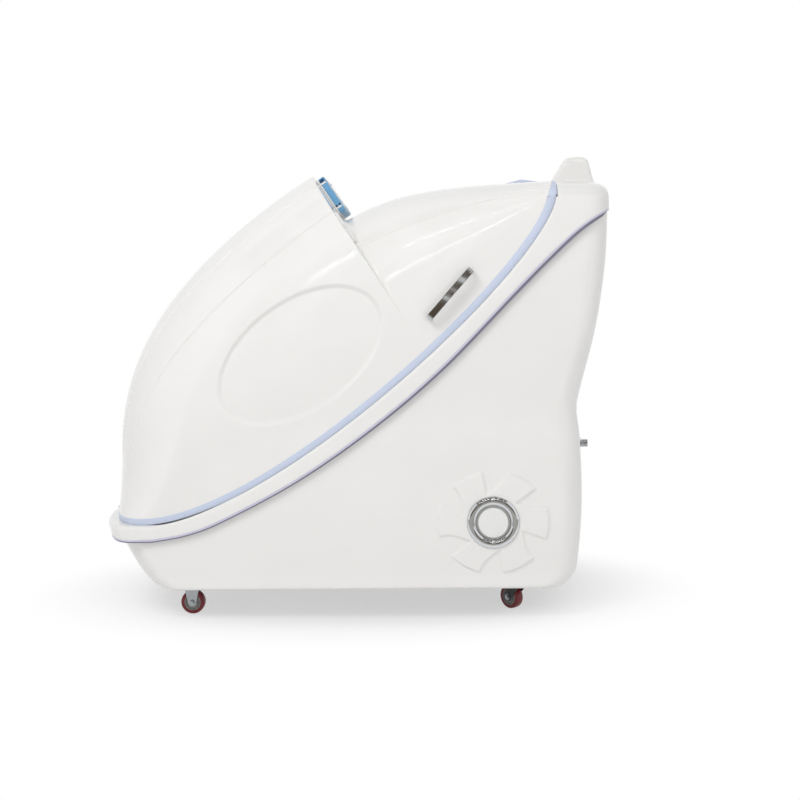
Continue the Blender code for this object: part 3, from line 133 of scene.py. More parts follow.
# A skin over rows of points; a looped row closes on itself
def loft(rows, looped=True, capped=False):
    bm = bmesh.new()
    grid = [[bm.verts.new(point) for point in row] for row in rows]
    for low, high in zip(grid, grid[1:]):
        count = len(low)
        for k in range(count if looped else count - 1):
            n = (k + 1) % count
            bm.faces.new((low[k], low[n], high[n], high[k]))
    if capped:
        bm.faces.new(list(reversed(grid[0])))
        bm.faces.new(grid[-1])
    return bm


# A (radius, height) profile turned about an axis
def lathe(profile, centre, way, steps=48):
    turn = Vector((0, 0, 1)).rotation_difference(Vector(way)).to_matrix()
    rows = []
    for k in range(steps + 1):
        angle = 2 * math.pi * k / steps
        c, s = math.cos(angle), math.sin(angle)
        rows.append([Vector(centre) + turn @ Vector((r * c, r * s, h)) for r, h in profile])
    return loft(rows, looped=profile[0][0] > 0)


def gathered(*shapes):
    bm = bmesh.new()
    for shape in shapes:
        mesh = bpy.data.meshes.new("gathered")
        shape.to_mesh(mesh)
        shape.free()
        bm.from_mesh(mesh)
        bpy.data.meshes.remove(mesh)
    return bm


# Makes the finished piece, rides it on its body and takes the place of its nodes
def show(name, bm, mat, body, *nodes, sharp=35.0):
    bmesh.ops.remove_doubles(bm, verts=bm.verts, dist=2e-6)
    bmesh.ops.dissolve_degenerate(bm, edges=bm.edges, dist=1e-7)
    bmesh.ops.recalc_face_normals(bm, faces=bm.faces)
    mesh = bpy.data.meshes.new(name)
    bm.to_mesh(mesh)
    bm.free()
    mesh.shade_smooth()
    mesh.set_sharp_from_angle(angle=math.radians(sharp))
    mesh.materials.append(mat)
    obj = bpy.data.objects.new(name, mesh)
    bpy.context.scene.collection.objects.link(obj)
    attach(obj, body)
    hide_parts(*nodes)
    return obj


# Bright zinc plate: blue-grey metal with the faint 5 mm clouding that passivation leaves
zinc_plate = new_finish("bright_zinc_plate")
where = add_node(zinc_plate, "ShaderNodeTexCoord", {}).outputs["Object"]
cloud = add_node(zinc_plate, "ShaderNodeTexNoise", {"Vector": where, "Scale": 1 / 0.005, "Detail": 4.0})
tone = add_node(zinc_plate, "ShaderNodeMix", {
    0: cloud.outputs["Fac"], 6: linear("#8F9396"), 7: linear("#B6BABD")}, data_type="RGBA")
gloss = add_node(zinc_plate, "ShaderNodeMapRange", {
    "Value": cloud.outputs["Fac"], "To Min": 0.24, "To Max": 0.42})
add_node(zinc_plate, "Principled BSDF", {
    "Base Color": tone.outputs[2], "Metallic": 1.0, "Roughness": gloss.outputs["Result"]})

# Black electro-coat on pressed steel: satin, a little dusty from the floor
black_coat = new_finish("black_electro_coated_steel")
where = add_node(black_coat, "ShaderNodeTexCoord", {}).outputs["Object"]
dust = add_node(black_coat, "ShaderNodeTexNoise", {"Vector": where, "Scale": 1 / 0.012, "Detail": 6.0})
tone = add_node(black_coat, "ShaderNodeMix", {
    0: dust.outputs["Fac"], 6: linear("#1B1C1F"), 7: linear("#34353A")}, data_type="RGBA")
gloss = add_node(black_coat, "ShaderNodeMapRange", {
    "Value": dust.outputs["Fac"], "To Min": 0.32, "To Max": 0.55})
add_node(black_coat, "Principled BSDF", {"Base Color": tone.outputs[2], "Roughness": gloss.outputs["Result"]})

# Cast polyurethane tread: deep red, smooth, scuffed paler in patches of about 8 mm
tread_red = new_finish("dark_red_cast_polyurethane")
where = add_node(tread_red, "ShaderNodeTexCoord", {}).outputs["Object"]
scuff = add_node(tread_red, "ShaderNodeTexNoise", {"Vector": where, "Scale": 1 / 0.008, "Detail": 5.0})
tone = add_node(tread_red, "ShaderNodeMix", {
    0: scuff.outputs["Fac"], 6: linear("#5E0F16"), 7: linear("#86202A")}, data_type="RGBA")
gloss = add_node(tread_red, "ShaderNodeMapRange", {
    "Value": scuff.outputs["Fac"], "To Min": 0.28, "To Max": 0.50})
relief = add_node(tread_red, "ShaderNodeBump", {
    "Strength": 0.25, "Distance": 0.0003, "Height": scuff.outputs["Fac"]})
add_node(tread_red, "Principled BSDF", {
    "Base Color": tone.outputs[2], "Roughness": gloss.outputs["Result"], "Normal": relief.outputs["Normal"]})

# Moulded nylon core: grey, matt, with the soft mottling of glass filler
core_nylon = new_finish("grey_moulded_nylon")
where = add_node(core_nylon, "ShaderNodeTexCoord", {}).outputs["Object"]
mottle = add_node(core_nylon, "ShaderNodeTexNoise", {"Vector": where, "Scale": 1 / 0.003, "Detail": 3.0})
tone = add_node(core_nylon, "ShaderNodeMix", {
    0: mottle.outputs["Fac"], 6: linear("#85827F"), 7: linear("#9B9895")}, data_type="RGBA")
gloss = add_node(core_nylon, "ShaderNodeMapRange", {
    "Value": mottle.outputs["Fac"], "To Min": 0.45, "To Max": 0.60})
add_node(core_nylon, "Principled BSDF", {"Base Color": tone.outputs[2], "Roughness": gloss.outputs["Result"]})

wheel_radius = 0.03175
wheel_half = 0.012
tread_bed = 0.02175
tread_edge = 0.0311
hub_web = 0.0075
axle_radius = 0.0040
axle_half = 0.0215
washer_radius = 0.0084
washer_thick = 0.0010
leg_y = 0.01475
leg_thick = 0.0025
fork_width = 0.044
fork_boss = 0.011
fork_shoulder = 0.005
caster_plate = (0.060, 0.046, 0.003)
plate_top = 0.0847
plate_low = plate_top - caster_plate[2]
plate_corner = 0.006
race_radius = 0.0200
race_height = 0.007
front_caster = (-0.419, 0.288)
rear_caster = (0.450, 0.270)
swivel_trail = 0.026
swivel_rest = math.radians(45.0)


# The strap of the fork from one leg's foot over the crown to the other: each step of its path has
# a place and a normal, and the strap narrows from the crown to the round boss at the axle
def fork_rows(crown, axle, top):
    path = []
    low = axle[2] - fork_boss
    rise = [low + (axle[2] - low) * math.sin(math.pi / 2 * k / 7) for k in range(8)]
    rise += [axle[2] + (top - fork_shoulder - axle[2]) * k / 4 for k in range(1, 5)]
    for z in rise:
        path.append((-leg_y, z, -1.0, 0.0))
    for k in range(1, 7):
        turn = math.pi / 2 * k / 6
        path.append((-leg_y + fork_shoulder * (1 - math.cos(turn)),
                     top - fork_shoulder + fork_shoulder * math.sin(turn),
                     -math.cos(turn), math.sin(turn)))
    path += [(-y, z, -ny, nz) for y, z, ny, nz in reversed(path)]
    rows = []
    for y, z, ny, nz in path:
        share = min(max((z - axle[2]) / (top - axle[2]), 0.0), 1.0)
        left = (axle[0] - fork_boss) * (1 - share) + (crown[0] - fork_width / 2) * share
        right = (axle[0] + fork_boss) * (1 - share) + (crown[0] + fork_width / 2) * share
        if z < axle[2]:
            half = math.sqrt(max(fork_boss ** 2 - (axle[2] - z) ** 2, 1e-8))
            left, right = axle[0] - half, axle[0] + half
        edge = min(0.0007, (right - left) / 5)
        band = rounded([(left, -leg_thick / 2, edge), (right, -leg_thick / 2, edge),
                        (right, leg_thick / 2, edge), (left, leg_thick / 2, edge)], 2)
        rows.append([Vector((x, crown[1] + y + ny * t, z + nz * t)) for x, t in band])
    return rows


# A flat plate with rounded corners and softened edges
def slab(width, depth, low, high, corner, edge):
    rows = [(edge, low)]
    for k in range(1, 5):
        turn = math.pi / 2 * k / 4
        rows.append((edge * (1 - math.sin(turn)), low + edge * (1 - math.cos(turn))))
    rows += [(inset, low + high - z) for inset, z in reversed(rows)]
    rings = []
    for inset, z in rows:
        a, b, r = width / 2 - inset, depth / 2 - inset, max(corner - inset, 0.0002)
        ring = rounded([(-a, -b, r), (a, -b, r), (a, b, r), (-a, b, r)], 6)
        rings.append([Vector((x, y, z)) for x, y in ring])
    return loft(rings, capped=True)


def moved(bm, spot, turn=0.0):
    bm.transform(Matrix.Translation(Vector(spot)) @ Matrix.Rotation(turn, 4, "Z"))
    return bm


def hex_head(spot, way, radius, height):
    profile = [(0.0, 0.0), (radius, 0.0), (radius, height * 0.75), (radius * 0.88, height), (0.0, height)]
    return lathe(profile, spot, way, 6)


def caster(tag, crown, trail, swing, top, fork_finish, body, wheel_body):
    axle = (crown[0] - trail, crown[1], wheel_radius)
    turn = Matrix.Translation(Vector((*crown, 0))) @ Matrix.Rotation(swing, 4, "Z")
    turn = turn @ Matrix.Translation(-Vector((*crown, 0)))
    half_tread = [(tread_bed + 0.0003, wheel_half, 0.0004), (tread_edge, wheel_half, 0.0045)]
    half_core = [(0.0045, wheel_half, 0.0004), (0.0090, wheel_half, 0.0008), (0.0102, hub_web, 0.0010),
                 (0.0186, hub_web, 0.0010), (0.0196, wheel_half, 0.0006), (tread_bed, wheel_half, 0.0003)]
    tread = [(r, -h, soft) for r, h, soft in half_tread] + [(wheel_radius, 0.0, 0.02)] + half_tread[::-1]
    core = [(r, -h, soft) for r, h, soft in half_core] + half_core[::-1]
    shank = [(0.0, -axle_half), (axle_radius, -axle_half), (axle_radius, axle_half), (0.0, axle_half)]
    washer = [(0.0, 0.0), (washer_radius, 0.0), (washer_radius, washer_thick), (0.0, washer_thick)]
    bolt = [lathe(shank, axle, (0, 1, 0), 24)]
    for end in (-1, 1):
        out = leg_y + leg_thick / 2 + 0.0003
        seat = (axle[0], axle[1] + end * out, axle[2])
        bolt.append(lathe(washer, seat, (0, end, 0), 32))
        seat = (axle[0], axle[1] + end * (out + washer_thick), axle[2])
        bolt.append(hex_head(seat, (0, end, 0), 0.0070, 0.0032))
    fork = loft(fork_rows(crown, axle, top), capped=True)
    tyre = lathe(rounded(tread, 6), axle, (0, 1, 0), 64)
    hub = lathe(rounded(core, 3), axle, (0, 1, 0), 48)
    axle_bolt = gathered(*bolt)
    for shape in (fork, tyre, hub, axle_bolt):
        shape.transform(turn)
    if trail == 0:
        plate = slab(caster_plate[0], caster_plate[1], plate_low, plate_top, plate_corner, 0.0006)
        fork = gathered(fork, moved(plate, (*crown, 0)))
    show("fork_" + tag, fork, fork_finish, body, "caster_fork_" + tag)
    show("axle_bolt_" + tag, axle_bolt, zinc_plate, body, "axle_" + tag)
    show("tread_" + tag, tyre, tread_red, wheel_body, "tyre_" + tag)
    show("hub_" + tag, hub, core_nylon, wheel_body, "wheel_core_" + tag)


for side, tag in ((-1, "left"), (1, "right")):
    crown = (front_caster[0], side * front_caster[1])
    caster("front_" + tag, crown, 0.0, 0.0, plate_low + 0.0005 - leg_thick / 2,
           zinc_plate, "base", "wheel_front_" + tag)
    crown = (rear_caster[0], side * rear_caster[1])
    race_low = plate_low - race_height
    caster("rear_" + tag, crown, swivel_trail, side * swivel_rest, race_low - 0.0005 - leg_thick / 2,
           black_coat, "swivel_rear_" + tag, "wheel_rear_" + tag)
    race = rounded([(0.0, race_low, 0), (0.0165, race_low, 0.0012), (race_radius, race_low + 0.0030, 0.0015),
                    (race_radius, race_low + 0.0055, 0.0010), (0.0165, plate_low, 0),
                    (0.0, plate_top - 0.002, 0)], 3)
    plate = slab(caster_plate[0], caster_plate[1], plate_low, plate_top, plate_corner, 0.0006)
    show("top_plate_rear_" + tag, gathered(moved(plate, (*crown, 0)), lathe(race, (*crown, 0), (0, 0, 1))),
         zinc_plate, "base", "caster_plate_rear_" + tag)


# Boiler, copper pipes and nozzle: a stainless steam boiler on the frame's cross tubes, fed from the
# inlet and piped to a brass nozzle in the riser. All of it is behind the skirt and the tub.

# Brushed stainless: grain lines drawn 0.6 mm apart, as fine as the render can show, along the piece
stainless = new_finish("brushed_stainless_steel")
where = add_node(stainless, "ShaderNodeTexCoord", {}).outputs["Object"]
drawn = add_node(stainless, "ShaderNodeMapping", {
    "Vector": where, "Scale": (1 / 0.0006, 1 / 0.030, 1 / 0.0006)})
grain = add_node(stainless, "ShaderNodeTexNoise", {
    "Vector": drawn.outputs["Vector"], "Scale": 1.0, "Detail": 3.0})
tone = add_node(stainless, "ShaderNodeMix", {
    0: grain.outputs["Fac"], 6: linear("#A9ACAF"), 7: linear("#C6C8CA")}, data_type="RGBA")
gloss = add_node(stainless, "ShaderNodeMapRange", {
    "Value": grain.outputs["Fac"], "To Min": 0.22, "To Max": 0.40})
relief = add_node(stainless, "ShaderNodeBump", {
    "Strength": 0.2, "Distance": 0.0001, "Height": grain.outputs["Fac"]})
add_node(stainless, "Principled BSDF", {
    "Base Color": tone.outputs[2], "Metallic": 1.0, "Roughness": gloss.outputs["Result"],
    "Normal": relief.outputs["Normal"]})
coat_node("steam_boiler", stainless)

# Drawn copper pipe: warm metal that has tarnished brown in patches of about 25 mm
copper = new_finish("tarnished_copper_pipe")
where = add_node(copper, "ShaderNodeTexCoord", {}).outputs["Object"]
tarnish = add_node(copper, "ShaderNodeTexNoise", {"Vector": where, "Scale": 1 / 0.025, "Detail": 5.0})
tone = add_node(copper, "ShaderNodeMix", {
    0: tarnish.outputs["Fac"], 6: linear("#C07E58"), 7: linear("#8C5238")}, data_type="RGBA")
gloss = add_node(copper, "ShaderNodeMapRange", {
    "Value": tarnish.outputs["Fac"], "To Min": 0.22, "To Max": 0.48})
add_node(copper, "Principled BSDF", {
    "Base Color": tone.outputs[2], "Metallic": 1.0, "Roughness": gloss.outputs["Result"]})
coat_node("feed_pipe", copper)
coat_node("steam_pipe", copper)

# Turned brass: yellow metal with tool marks about 0.8 mm apart
brass = new_finish("turned_brass")
where = add_node(brass, "ShaderNodeTexCoord", {}).outputs["Object"]
marks = add_node(brass, "ShaderNodeTexNoise", {"Vector": where, "Scale": 1 / 0.0008, "Detail": 1.0})
tone = add_node(brass, "ShaderNodeMix", {
    0: marks.outputs["Fac"], 6: linear("#A98743"), 7: linear("#BD9B5C")}, data_type="RGBA")
gloss = add_node(brass, "ShaderNodeMapRange", {
    "Value": marks.outputs["Fac"], "To Min": 0.24, "To Max": 0.38})
add_node(brass, "Principled BSDF", {
    "Base Color": tone.outputs[2], "Metallic": 1.0, "Roughness": gloss.outputs["Result"]})

riser_foot, riser_head = (-0.135, 0.140), (-0.095, 0.380)
riser = Vector((riser_head[0] - riser_foot[0], 0.0, riser_head[1] - riser_foot[1]))
nozzle_height = 0.235
nozzle_climb = (nozzle_height - riser_foot[1]) / riser.z
nozzle_way = Vector((-riser.z, 0.0, riser.x)).normalized()
nozzle_spot = Vector((riser_foot[0] + riser.x * nozzle_climb, 0.0, nozzle_height))
nozzle = rounded([(0.0, 0.010, 0), (0.0040, 0.010, 0.0006), (0.0040, 0.0092, 0.0004),
                  (0.0090, 0.0092, 0.0010), (0.0110, 0.0100, 0.0006), (0.0200, 0.0045, 0.0020),
                  (0.0200, 0.0003, 0.0004), (0.0100, 0.0003, 0), (0.0100, -0.022, 0.0006),
                  (0.0, -0.022, 0)], 3)
show("nozzle", lathe(nozzle, nozzle_spot, nozzle_way), brass, "base", "steam_nozzle")


# Seat tub: footwell, seat and backrest in one glass-fibre liner, hung from the ledge of the rim
# moulding and finished in white gelcoat like the outside. It shows when the lid is up.


def cubic(a, b, c, d, share):
    back = 1 - share
    return a * back ** 3 + b * 3 * back * back * share + c * 3 * back * share * share + d * share ** 3


ledge_nose = Vector((-0.525, 0.0, 0.255))
ledge_head = Vector((0.548, 0.0, 1.070))


# The ledge that tub, rim and lid share, from its flat start near the nose up to the cowl
def ledge(share):
    ahead, below = ledge_nose + Vector((0.335, 0, 0)), ledge_head + Vector((-0.024, 0, -0.172))
    return cubic(ledge_nose, ahead, below, ledge_head, share)


def ledge_up(share):
    step = ledge(min(share + 0.002, 1.0)) - ledge(max(share - 0.002, 0.0))
    return Vector((-step.z, 0.0, step.x)).normalized()


# A point of a superellipse quarter by quarter: power 2 is round, more is squarer
def arch(angle, power):
    c, s = math.cos(angle), math.sin(angle)
    reach = (abs(c) ** power + abs(s) ** power) ** (-1 / power)
    return c * reach, s * reach


nose_bulge = 0.135
nose_power = 2.1


def plan_ring(nose, back, half, corner, nose_steps=48, corner_steps=8):
    ring = []
    for k in range(nose_steps + 1):
        c, s = arch(-math.pi / 2 + math.pi * k / nose_steps, nose_power)
        ring.append((nose + nose_bulge - nose_bulge * c, half * s))
    for k in range(corner_steps + 1):
        turn = math.pi / 2 * k / corner_steps
        ring.append((back - corner + corner * math.sin(turn), half - corner + corner * math.cos(turn)))
    return ring + [(x, -y) for x, y in reversed(ring[nose_steps + 1:])]


def prism(outline, axis, low, high):
    rows = []
    for level in (low, high):
        if axis == "Y":
            rows.append([Vector((a, level, b)) for a, b in outline])
        else:
            rows.append([Vector((a, b, level)) for a, b in outline])
    return loft(rows, capped=True)


def settled(obj):
    bpy.context.view_layer.update()
    shape = obj.evaluated_get(bpy.context.evaluated_depsgraph_get())
    bm = bmesh.new()
    bm.from_mesh(shape.to_mesh())
    shape.to_mesh_clear()
    bpy.data.objects.remove(obj)
    return bm


def blank(bm):
    mesh = bpy.data.meshes.new("blank")
    bmesh.ops.remove_doubles(bm, verts=bm.verts, dist=1e-6)
    bm.to_mesh(mesh)
    bm.free()
    obj = bpy.data.objects.new("blank", mesh)
    bpy.context.scene.collection.objects.link(obj)
    return obj


def cut(bm, tool_bm, operation="DIFFERENCE"):
    for shape in (bm, tool_bm):
        bmesh.ops.recalc_face_normals(shape, faces=shape.faces)
    obj, tool = blank(bm), blank(tool_bm)
    change = obj.modifiers.new("cut", "BOOLEAN")
    change.operation = operation
    change.solver = "EXACT"
    change.object = tool
    result = settled(obj)
    bpy.data.objects.remove(tool)
    return result


def eased(bm, width, segments, limit):
    obj = blank(bm)
    bevel = obj.modifiers.new("ease", "BEVEL")
    bevel.width = width
    bevel.segments = segments
    bevel.limit_method = "ANGLE"
    bevel.angle_limit = math.radians(limit)
    return settled(obj)


# Liner gelcoat: white, a shade warmer than the outside, with a slow 9 mm ripple from the mould
liner_gelcoat = new_finish("white_liner_gelcoat")
where = add_node(liner_gelcoat, "ShaderNodeTexCoord", {}).outputs["Object"]
ripple = add_node(liner_gelcoat, "ShaderNodeTexNoise", {"Vector": where, "Scale": 1 / 0.009, "Detail": 1.0})
patch = add_node(liner_gelcoat, "ShaderNodeTexNoise", {"Vector": where, "Scale": 1 / 0.150, "Detail": 3.0})
tone = add_node(liner_gelcoat, "ShaderNodeMix", {
    0: patch.outputs["Fac"], 6: linear("#E4E4E1"), 7: linear("#EAEAE8")}, data_type="RGBA")
gloss = add_node(liner_gelcoat, "ShaderNodeMapRange", {
    "Value": patch.outputs["Fac"], "To Min": 0.20, "To Max": 0.30})
relief = add_node(liner_gelcoat, "ShaderNodeBump", {
    "Strength": 0.06, "Distance": 0.0004, "Height": ripple.outputs["Fac"]})
add_node(liner_gelcoat, "Principled BSDF", {
    "Base Color": tone.outputs[2], "Roughness": gloss.outputs["Result"], "Normal": relief.outputs["Normal"]})

tub_wall = 0.006
tub_nose = -0.6327
tub_head = 0.5507
tub_half = 0.3447
tub_corner = 0.020
tub_fillet = 0.036
tub_drop = 0.002
seat_line = [(-0.665, 0.315), (-0.510, 0.140), riser_foot, riser_head, (0.230, 0.355),
             (tub_head - 0.02, 0.985), (tub_head + 0.02, 1.075)]


# The seat's line moved square to itself, for the outside of the wall
def outset(points, amount):
    line = []
    for k, (x, z) in enumerate(points):
        a = Vector(points[max(k, 1)]) - Vector(points[max(k, 1) - 1])
        b = Vector(points[min(k + 1, len(points) - 1)]) - Vector(points[min(k, len(points) - 2)])
        na, nb = Vector((a.y, -a.x)).normalized(), Vector((b.y, -b.x)).normalized()
        middle = (na + nb).normalized()
        shift = middle * (amount / middle.dot(na))
        line.append((x + shift.x, z + shift.y))
    return line


def tub_block(inset, line):
    body = prism(line + [(line[-1][0], 1.5), (line[0][0], 1.5)], "Y", -0.5, 0.5)
    ring = plan_ring(tub_nose + inset, tub_head - inset, tub_half - inset, tub_corner, 40, 5)
    body = cut(body, prism(ring, "Z", 0.0, 1.4), "INTERSECT")
    return eased(body, tub_fillet - inset, 6, 50.0)


tub = cut(tub_block(0.0, outset(seat_line, tub_wall)), tub_block(tub_wall, seat_line))
# Trimmed just under the ledge along the flanks, and level across the backrest's head
over = [ledge(k / 60) - ledge_up(k / 60) * tub_drop for k in range(61)]
over = [(p.x, p.z) for p in over if p.z < 0.960]
over = [(-0.683, over[0][1])] + over + [(tub_head - 0.010, 1.015), (tub_head - 0.010, 1.070)]
over += [(0.683, 1.070), (0.683, 1.6), (-0.683, 1.6)]
tub = cut(tub, prism(over, "Y", -0.6, 0.6))
show("tub_liner", tub, liner_gelcoat, "base", "seat_tub", sharp=40.0)


# Base skirt: the lower body in gloss white gelcoat on glass fibre, laid up in a split mould, with a
# six-bladed fan raised on each flank. It laps up inside the rim moulding along the slanting seam.


# A smooth curve through the points
def smooth_line(points, steps):
    ends = [points[0]] + list(points) + [points[-1]]
    line = []
    for a, b, c, d in zip(ends, ends[1:], ends[2:], ends[3:]):
        for k in range(steps):
            u = k / steps
            line.append(tuple(
                0.5 * (2 * q + (r - p) * u + (2 * p - 5 * q + 4 * r - s) * u * u
                       + (3 * q - p - 3 * r + s) * u ** 3)
                for p, q, r, s in zip(a, b, c, d)))
    return line + [tuple(points[-1])]


# The height of a line of points at a place along it
def read_line(points, at):
    for (a0, b0), (a1, b1) in zip(points, points[1:]):
        if at <= a1:
            return b0 + (b1 - b0) * max(at - a0, 0.0) / (a1 - a0)
    return points[-1][1]


def ease(low, high, value):
    share = min(max((value - low) / (high - low), 0.0), 1.0)
    return share * share * (3 - 2 * share)


# From 0 to 1 in a straight ramp with softly rounded ends
def slope(low, high, value, soft=0.2):
    share = min(max((value - low) / (high - low), 0.0), 1.0)
    if share > 0.5:
        return 1 - slope(low, high, low + high - value, soft)
    return share * share / (2 * soft * (1 - soft)) if share < soft else (share - soft / 2) / (1 - soft)


# The seam's height over its length, then how far the nose and the back reach at each height
seam_points = smooth_line(((-0.497, 0.221), (-0.403, 0.238), (-0.308, 0.274), (-0.120, 0.372), (0.067, 0.498),
                           (0.251, 0.649), (0.433, 0.832), (0.523, 0.921), (0.612, 1.000), (0.703, 1.052)), 8)
seam_points = [(-0.783, 0.220)] + seam_points
foot_line = smooth_line(((0.075, -0.520), (0.085, -0.560), (0.105, -0.586), (0.145, -0.614),
                         (0.198, -0.643), (0.235, -0.659), (0.300, -0.664)), 8)
back_line = smooth_line(((0.075, 0.530), (0.085, 0.563), (0.105, 0.585), (0.145, 0.600), (0.300, 0.612),
                         (0.461, 0.608), (0.540, 0.600), (0.600, 0.612), (0.751, 0.651), (0.920, 0.6755),
                         (1.080, 0.6815)), 8)
skirt_half = 0.381
skirt_flank = 0.37
skirt_low = 0.083
skirt_round = 0.008
skirt_corner = 0.060
skirt_lap = 0.010
skirt_wall = 0.006


# A turn goes round the plan in six parts: near flank, nose, far flank, corner, back, corner
def skirt_at(turn, z):
    nose, back = read_line(foot_line, z), read_line(back_line, z)
    drop = max(skirt_low + skirt_round - z, 0.0)
    half = skirt_half - skirt_round + math.sqrt(skirt_round ** 2 - drop ** 2)
    k, share = min(int(turn), 5), turn - min(int(turn), 5)
    front, rear = nose + nose_bulge, back - skirt_corner
    quarter = math.pi / 2 * share
    if k == 0:
        return Vector((rear + (front - rear) * share, -half, z))
    if k == 1:
        c, s = arch(-math.pi / 2 + math.pi * share, nose_power)
        return Vector((front - nose_bulge * c, half * s, z))
    if k == 2:
        return Vector((front + (rear - front) * share, half, z))
    if k == 3:
        return Vector((rear + skirt_corner * math.sin(quarter),
                       half - skirt_corner * (1 - math.cos(quarter)), z))
    if k == 4:
        return Vector((back, (half - skirt_corner) * (1 - 2 * share), z))
    return Vector((rear + skirt_corner * math.cos(quarter),
                   -half + skirt_corner * (1 - math.sin(quarter)), z))


def skirt_top(turn):
    z = 0.5
    for _ in range(24):
        z = 0.5 * z + 0.5 * (read_line(seam_points, skirt_at(turn, z).x) + skirt_lap)
    return z


fan_centre = Vector((0.382, 0.256))
fan_radius = 0.137
fan_hub = 0.076
fan_pad = 0.060
fan_relief = 0.0055
fan_soft = 0.0036
fan_seat = 0.3800
fan_tip = math.radians(35.0)
fan_sweep = math.radians(23.0)
fan_stretch = (1.03, 0.96)
fan_line = []
for blade in range(6):
    start = math.radians(-2.0 + 60.0 * blade) - fan_tip / 2
    spokes = [(fan_hub, start + 0.02)] + [(fan_radius, start + fan_tip * k / 8) for k in range(9)]
    for k in range(1, 8):
        share = k / 8
        sweep = fan_sweep * share ** 2.2
        spokes.append((fan_radius + (fan_hub - fan_radius) * share ** 0.8, start + fan_tip + sweep))
    fan_line += [fan_centre + Vector((fan_stretch[0] * r * math.cos(a), fan_stretch[1] * r * math.sin(a)))
                 for r, a in spokes]
fan_edges = list(zip(fan_line, fan_line[1:] + fan_line[:1]))


# How far a place on the flank lies inside the fan's outline, less than nothing outside it
def fan_depth(x, z):
    spot = Vector((x, z))
    nearest, inside = 1.0, False
    for a, b in fan_edges:
        run = b - a
        share = min(max((spot - a).dot(run) / run.length_squared, 0.0), 1.0)
        nearest = min(nearest, (a + run * share - spot).length)
        if (a.y > z) != (b.y > z) and x < a.x + (z - a.y) / (b.y - a.y) * (b.x - a.x):
            inside = not inside
    return nearest if inside else -nearest


# A flat grid over two running values, which the skirt and the lid are then bent from
def chart(us, vs):
    bm = bmesh.new()
    grid = [[bm.verts.new((u, v, 0.0)) for v in vs] for u in us]
    for low, high in zip(grid, grid[1:]):
        for k in range(len(vs) - 1):
            bm.faces.new((low[k], high[k], high[k + 1], low[k + 1]))
    return bm


def refine(bm, wanted):
    edges = {edge for face in bm.faces if wanted(face.calc_center_median()) for edge in face.edges}
    bmesh.ops.subdivide_edges(bm, edges=list(edges), cuts=1, use_grid_fill=True)


def thickened(bm, wall):
    obj = blank(bm)
    skin = obj.modifiers.new("wall", "SOLIDIFY")
    skin.thickness = wall
    skin.offset = -1.0
    return settled(obj)


# White polyester gelcoat: polished gloss over a slow 12 mm ripple from the laminate below,
# so highlights waver a little; patches of a hand's breadth differ slightly in tone
gelcoat = new_finish("white_polyester_gelcoat")
where = add_node(gelcoat, "ShaderNodeTexCoord", {}).outputs["Object"]
ripple = add_node(gelcoat, "ShaderNodeTexNoise", {"Vector": where, "Scale": 1 / 0.012, "Detail": 1.0})
patch = add_node(gelcoat, "ShaderNodeTexNoise", {"Vector": where, "Scale": 1 / 0.120, "Detail": 4.0})
tone = add_node(gelcoat, "ShaderNodeMix", {
    0: patch.outputs["Fac"], 6: linear("#EDECEA"), 7: linear("#F2F1EF")}, data_type="RGBA")
gloss = add_node(gelcoat, "ShaderNodeMapRange", {
    "Value": patch.outputs["Fac"], "To Min": 0.07, "To Max": 0.12})
relief = add_node(gelcoat, "ShaderNodeBump", {
    "Strength": 0.05, "Distance": 0.0004, "Height": ripple.outputs["Fac"]})
add_node(gelcoat, "Principled BSDF", {
    "Base Color": tone.outputs[2], "Roughness": gloss.outputs["Result"], "Normal": relief.outputs["Normal"]})

turns = [k / 56 for k in range(56)] + [1 + k / 48 for k in range(48)] + [2 + k / 56 for k in range(56)]
turns += [3 + k / 10 for k in range(10)] + [4 + k / 20 for k in range(20)] + [5 + k / 10 for k in range(11)]
levels = [(k / 44) ** 1.6 for k in range(45)]
tops = {}


def skirt_spot(turn, share):
    key = round(turn, 6)
    if key not in tops:
        tops[key] = skirt_top(turn)
    return skirt_at(turn, skirt_low + (tops[key] - skirt_low) * share)


def near_fan(spread):
    def wanted(centre):
        spot = skirt_spot(centre.x, centre.y)
        if (Vector((spot.x, spot.z)) - fan_centre).length > fan_radius + 0.03 or abs(spot.y) < skirt_flank:
            return False
        return abs(fan_depth(spot.x, spot.z)) < spread
    return wanted


skirt = chart(turns, levels)
for spread in (0.022, 0.014, 0.009):
    refine(skirt, near_fan(spread))
for vert in skirt.verts:
    spot = skirt_spot(vert.co.x, vert.co.y)
    reach = (Vector((spot.x, spot.z)) - fan_centre).length
    if abs(spot.y) > skirt_flank and reach < fan_radius + 0.02:
        rise = fan_relief * slope(-fan_soft, fan_soft, fan_depth(spot.x, spot.z))
        if reach < fan_pad:
            rise = fan_seat - skirt_half
        spot.y += math.copysign(rise, spot.y)
    vert.co = spot
bmesh.ops.remove_doubles(skirt, verts=skirt.verts, dist=1e-5)
bmesh.ops.recalc_face_normals(skirt, faces=skirt.faces)
show("skirt_shell", thickened(skirt, skirt_wall), gelcoat, "base", "base_skirt", sharp=40.0)


# Fan badges: a smooth half-round bezel, turned in brass and chrome-plated, screwed to the middle of
# each fan, and a glossy white domed cap pressed into it with a narrow gap round its edge.

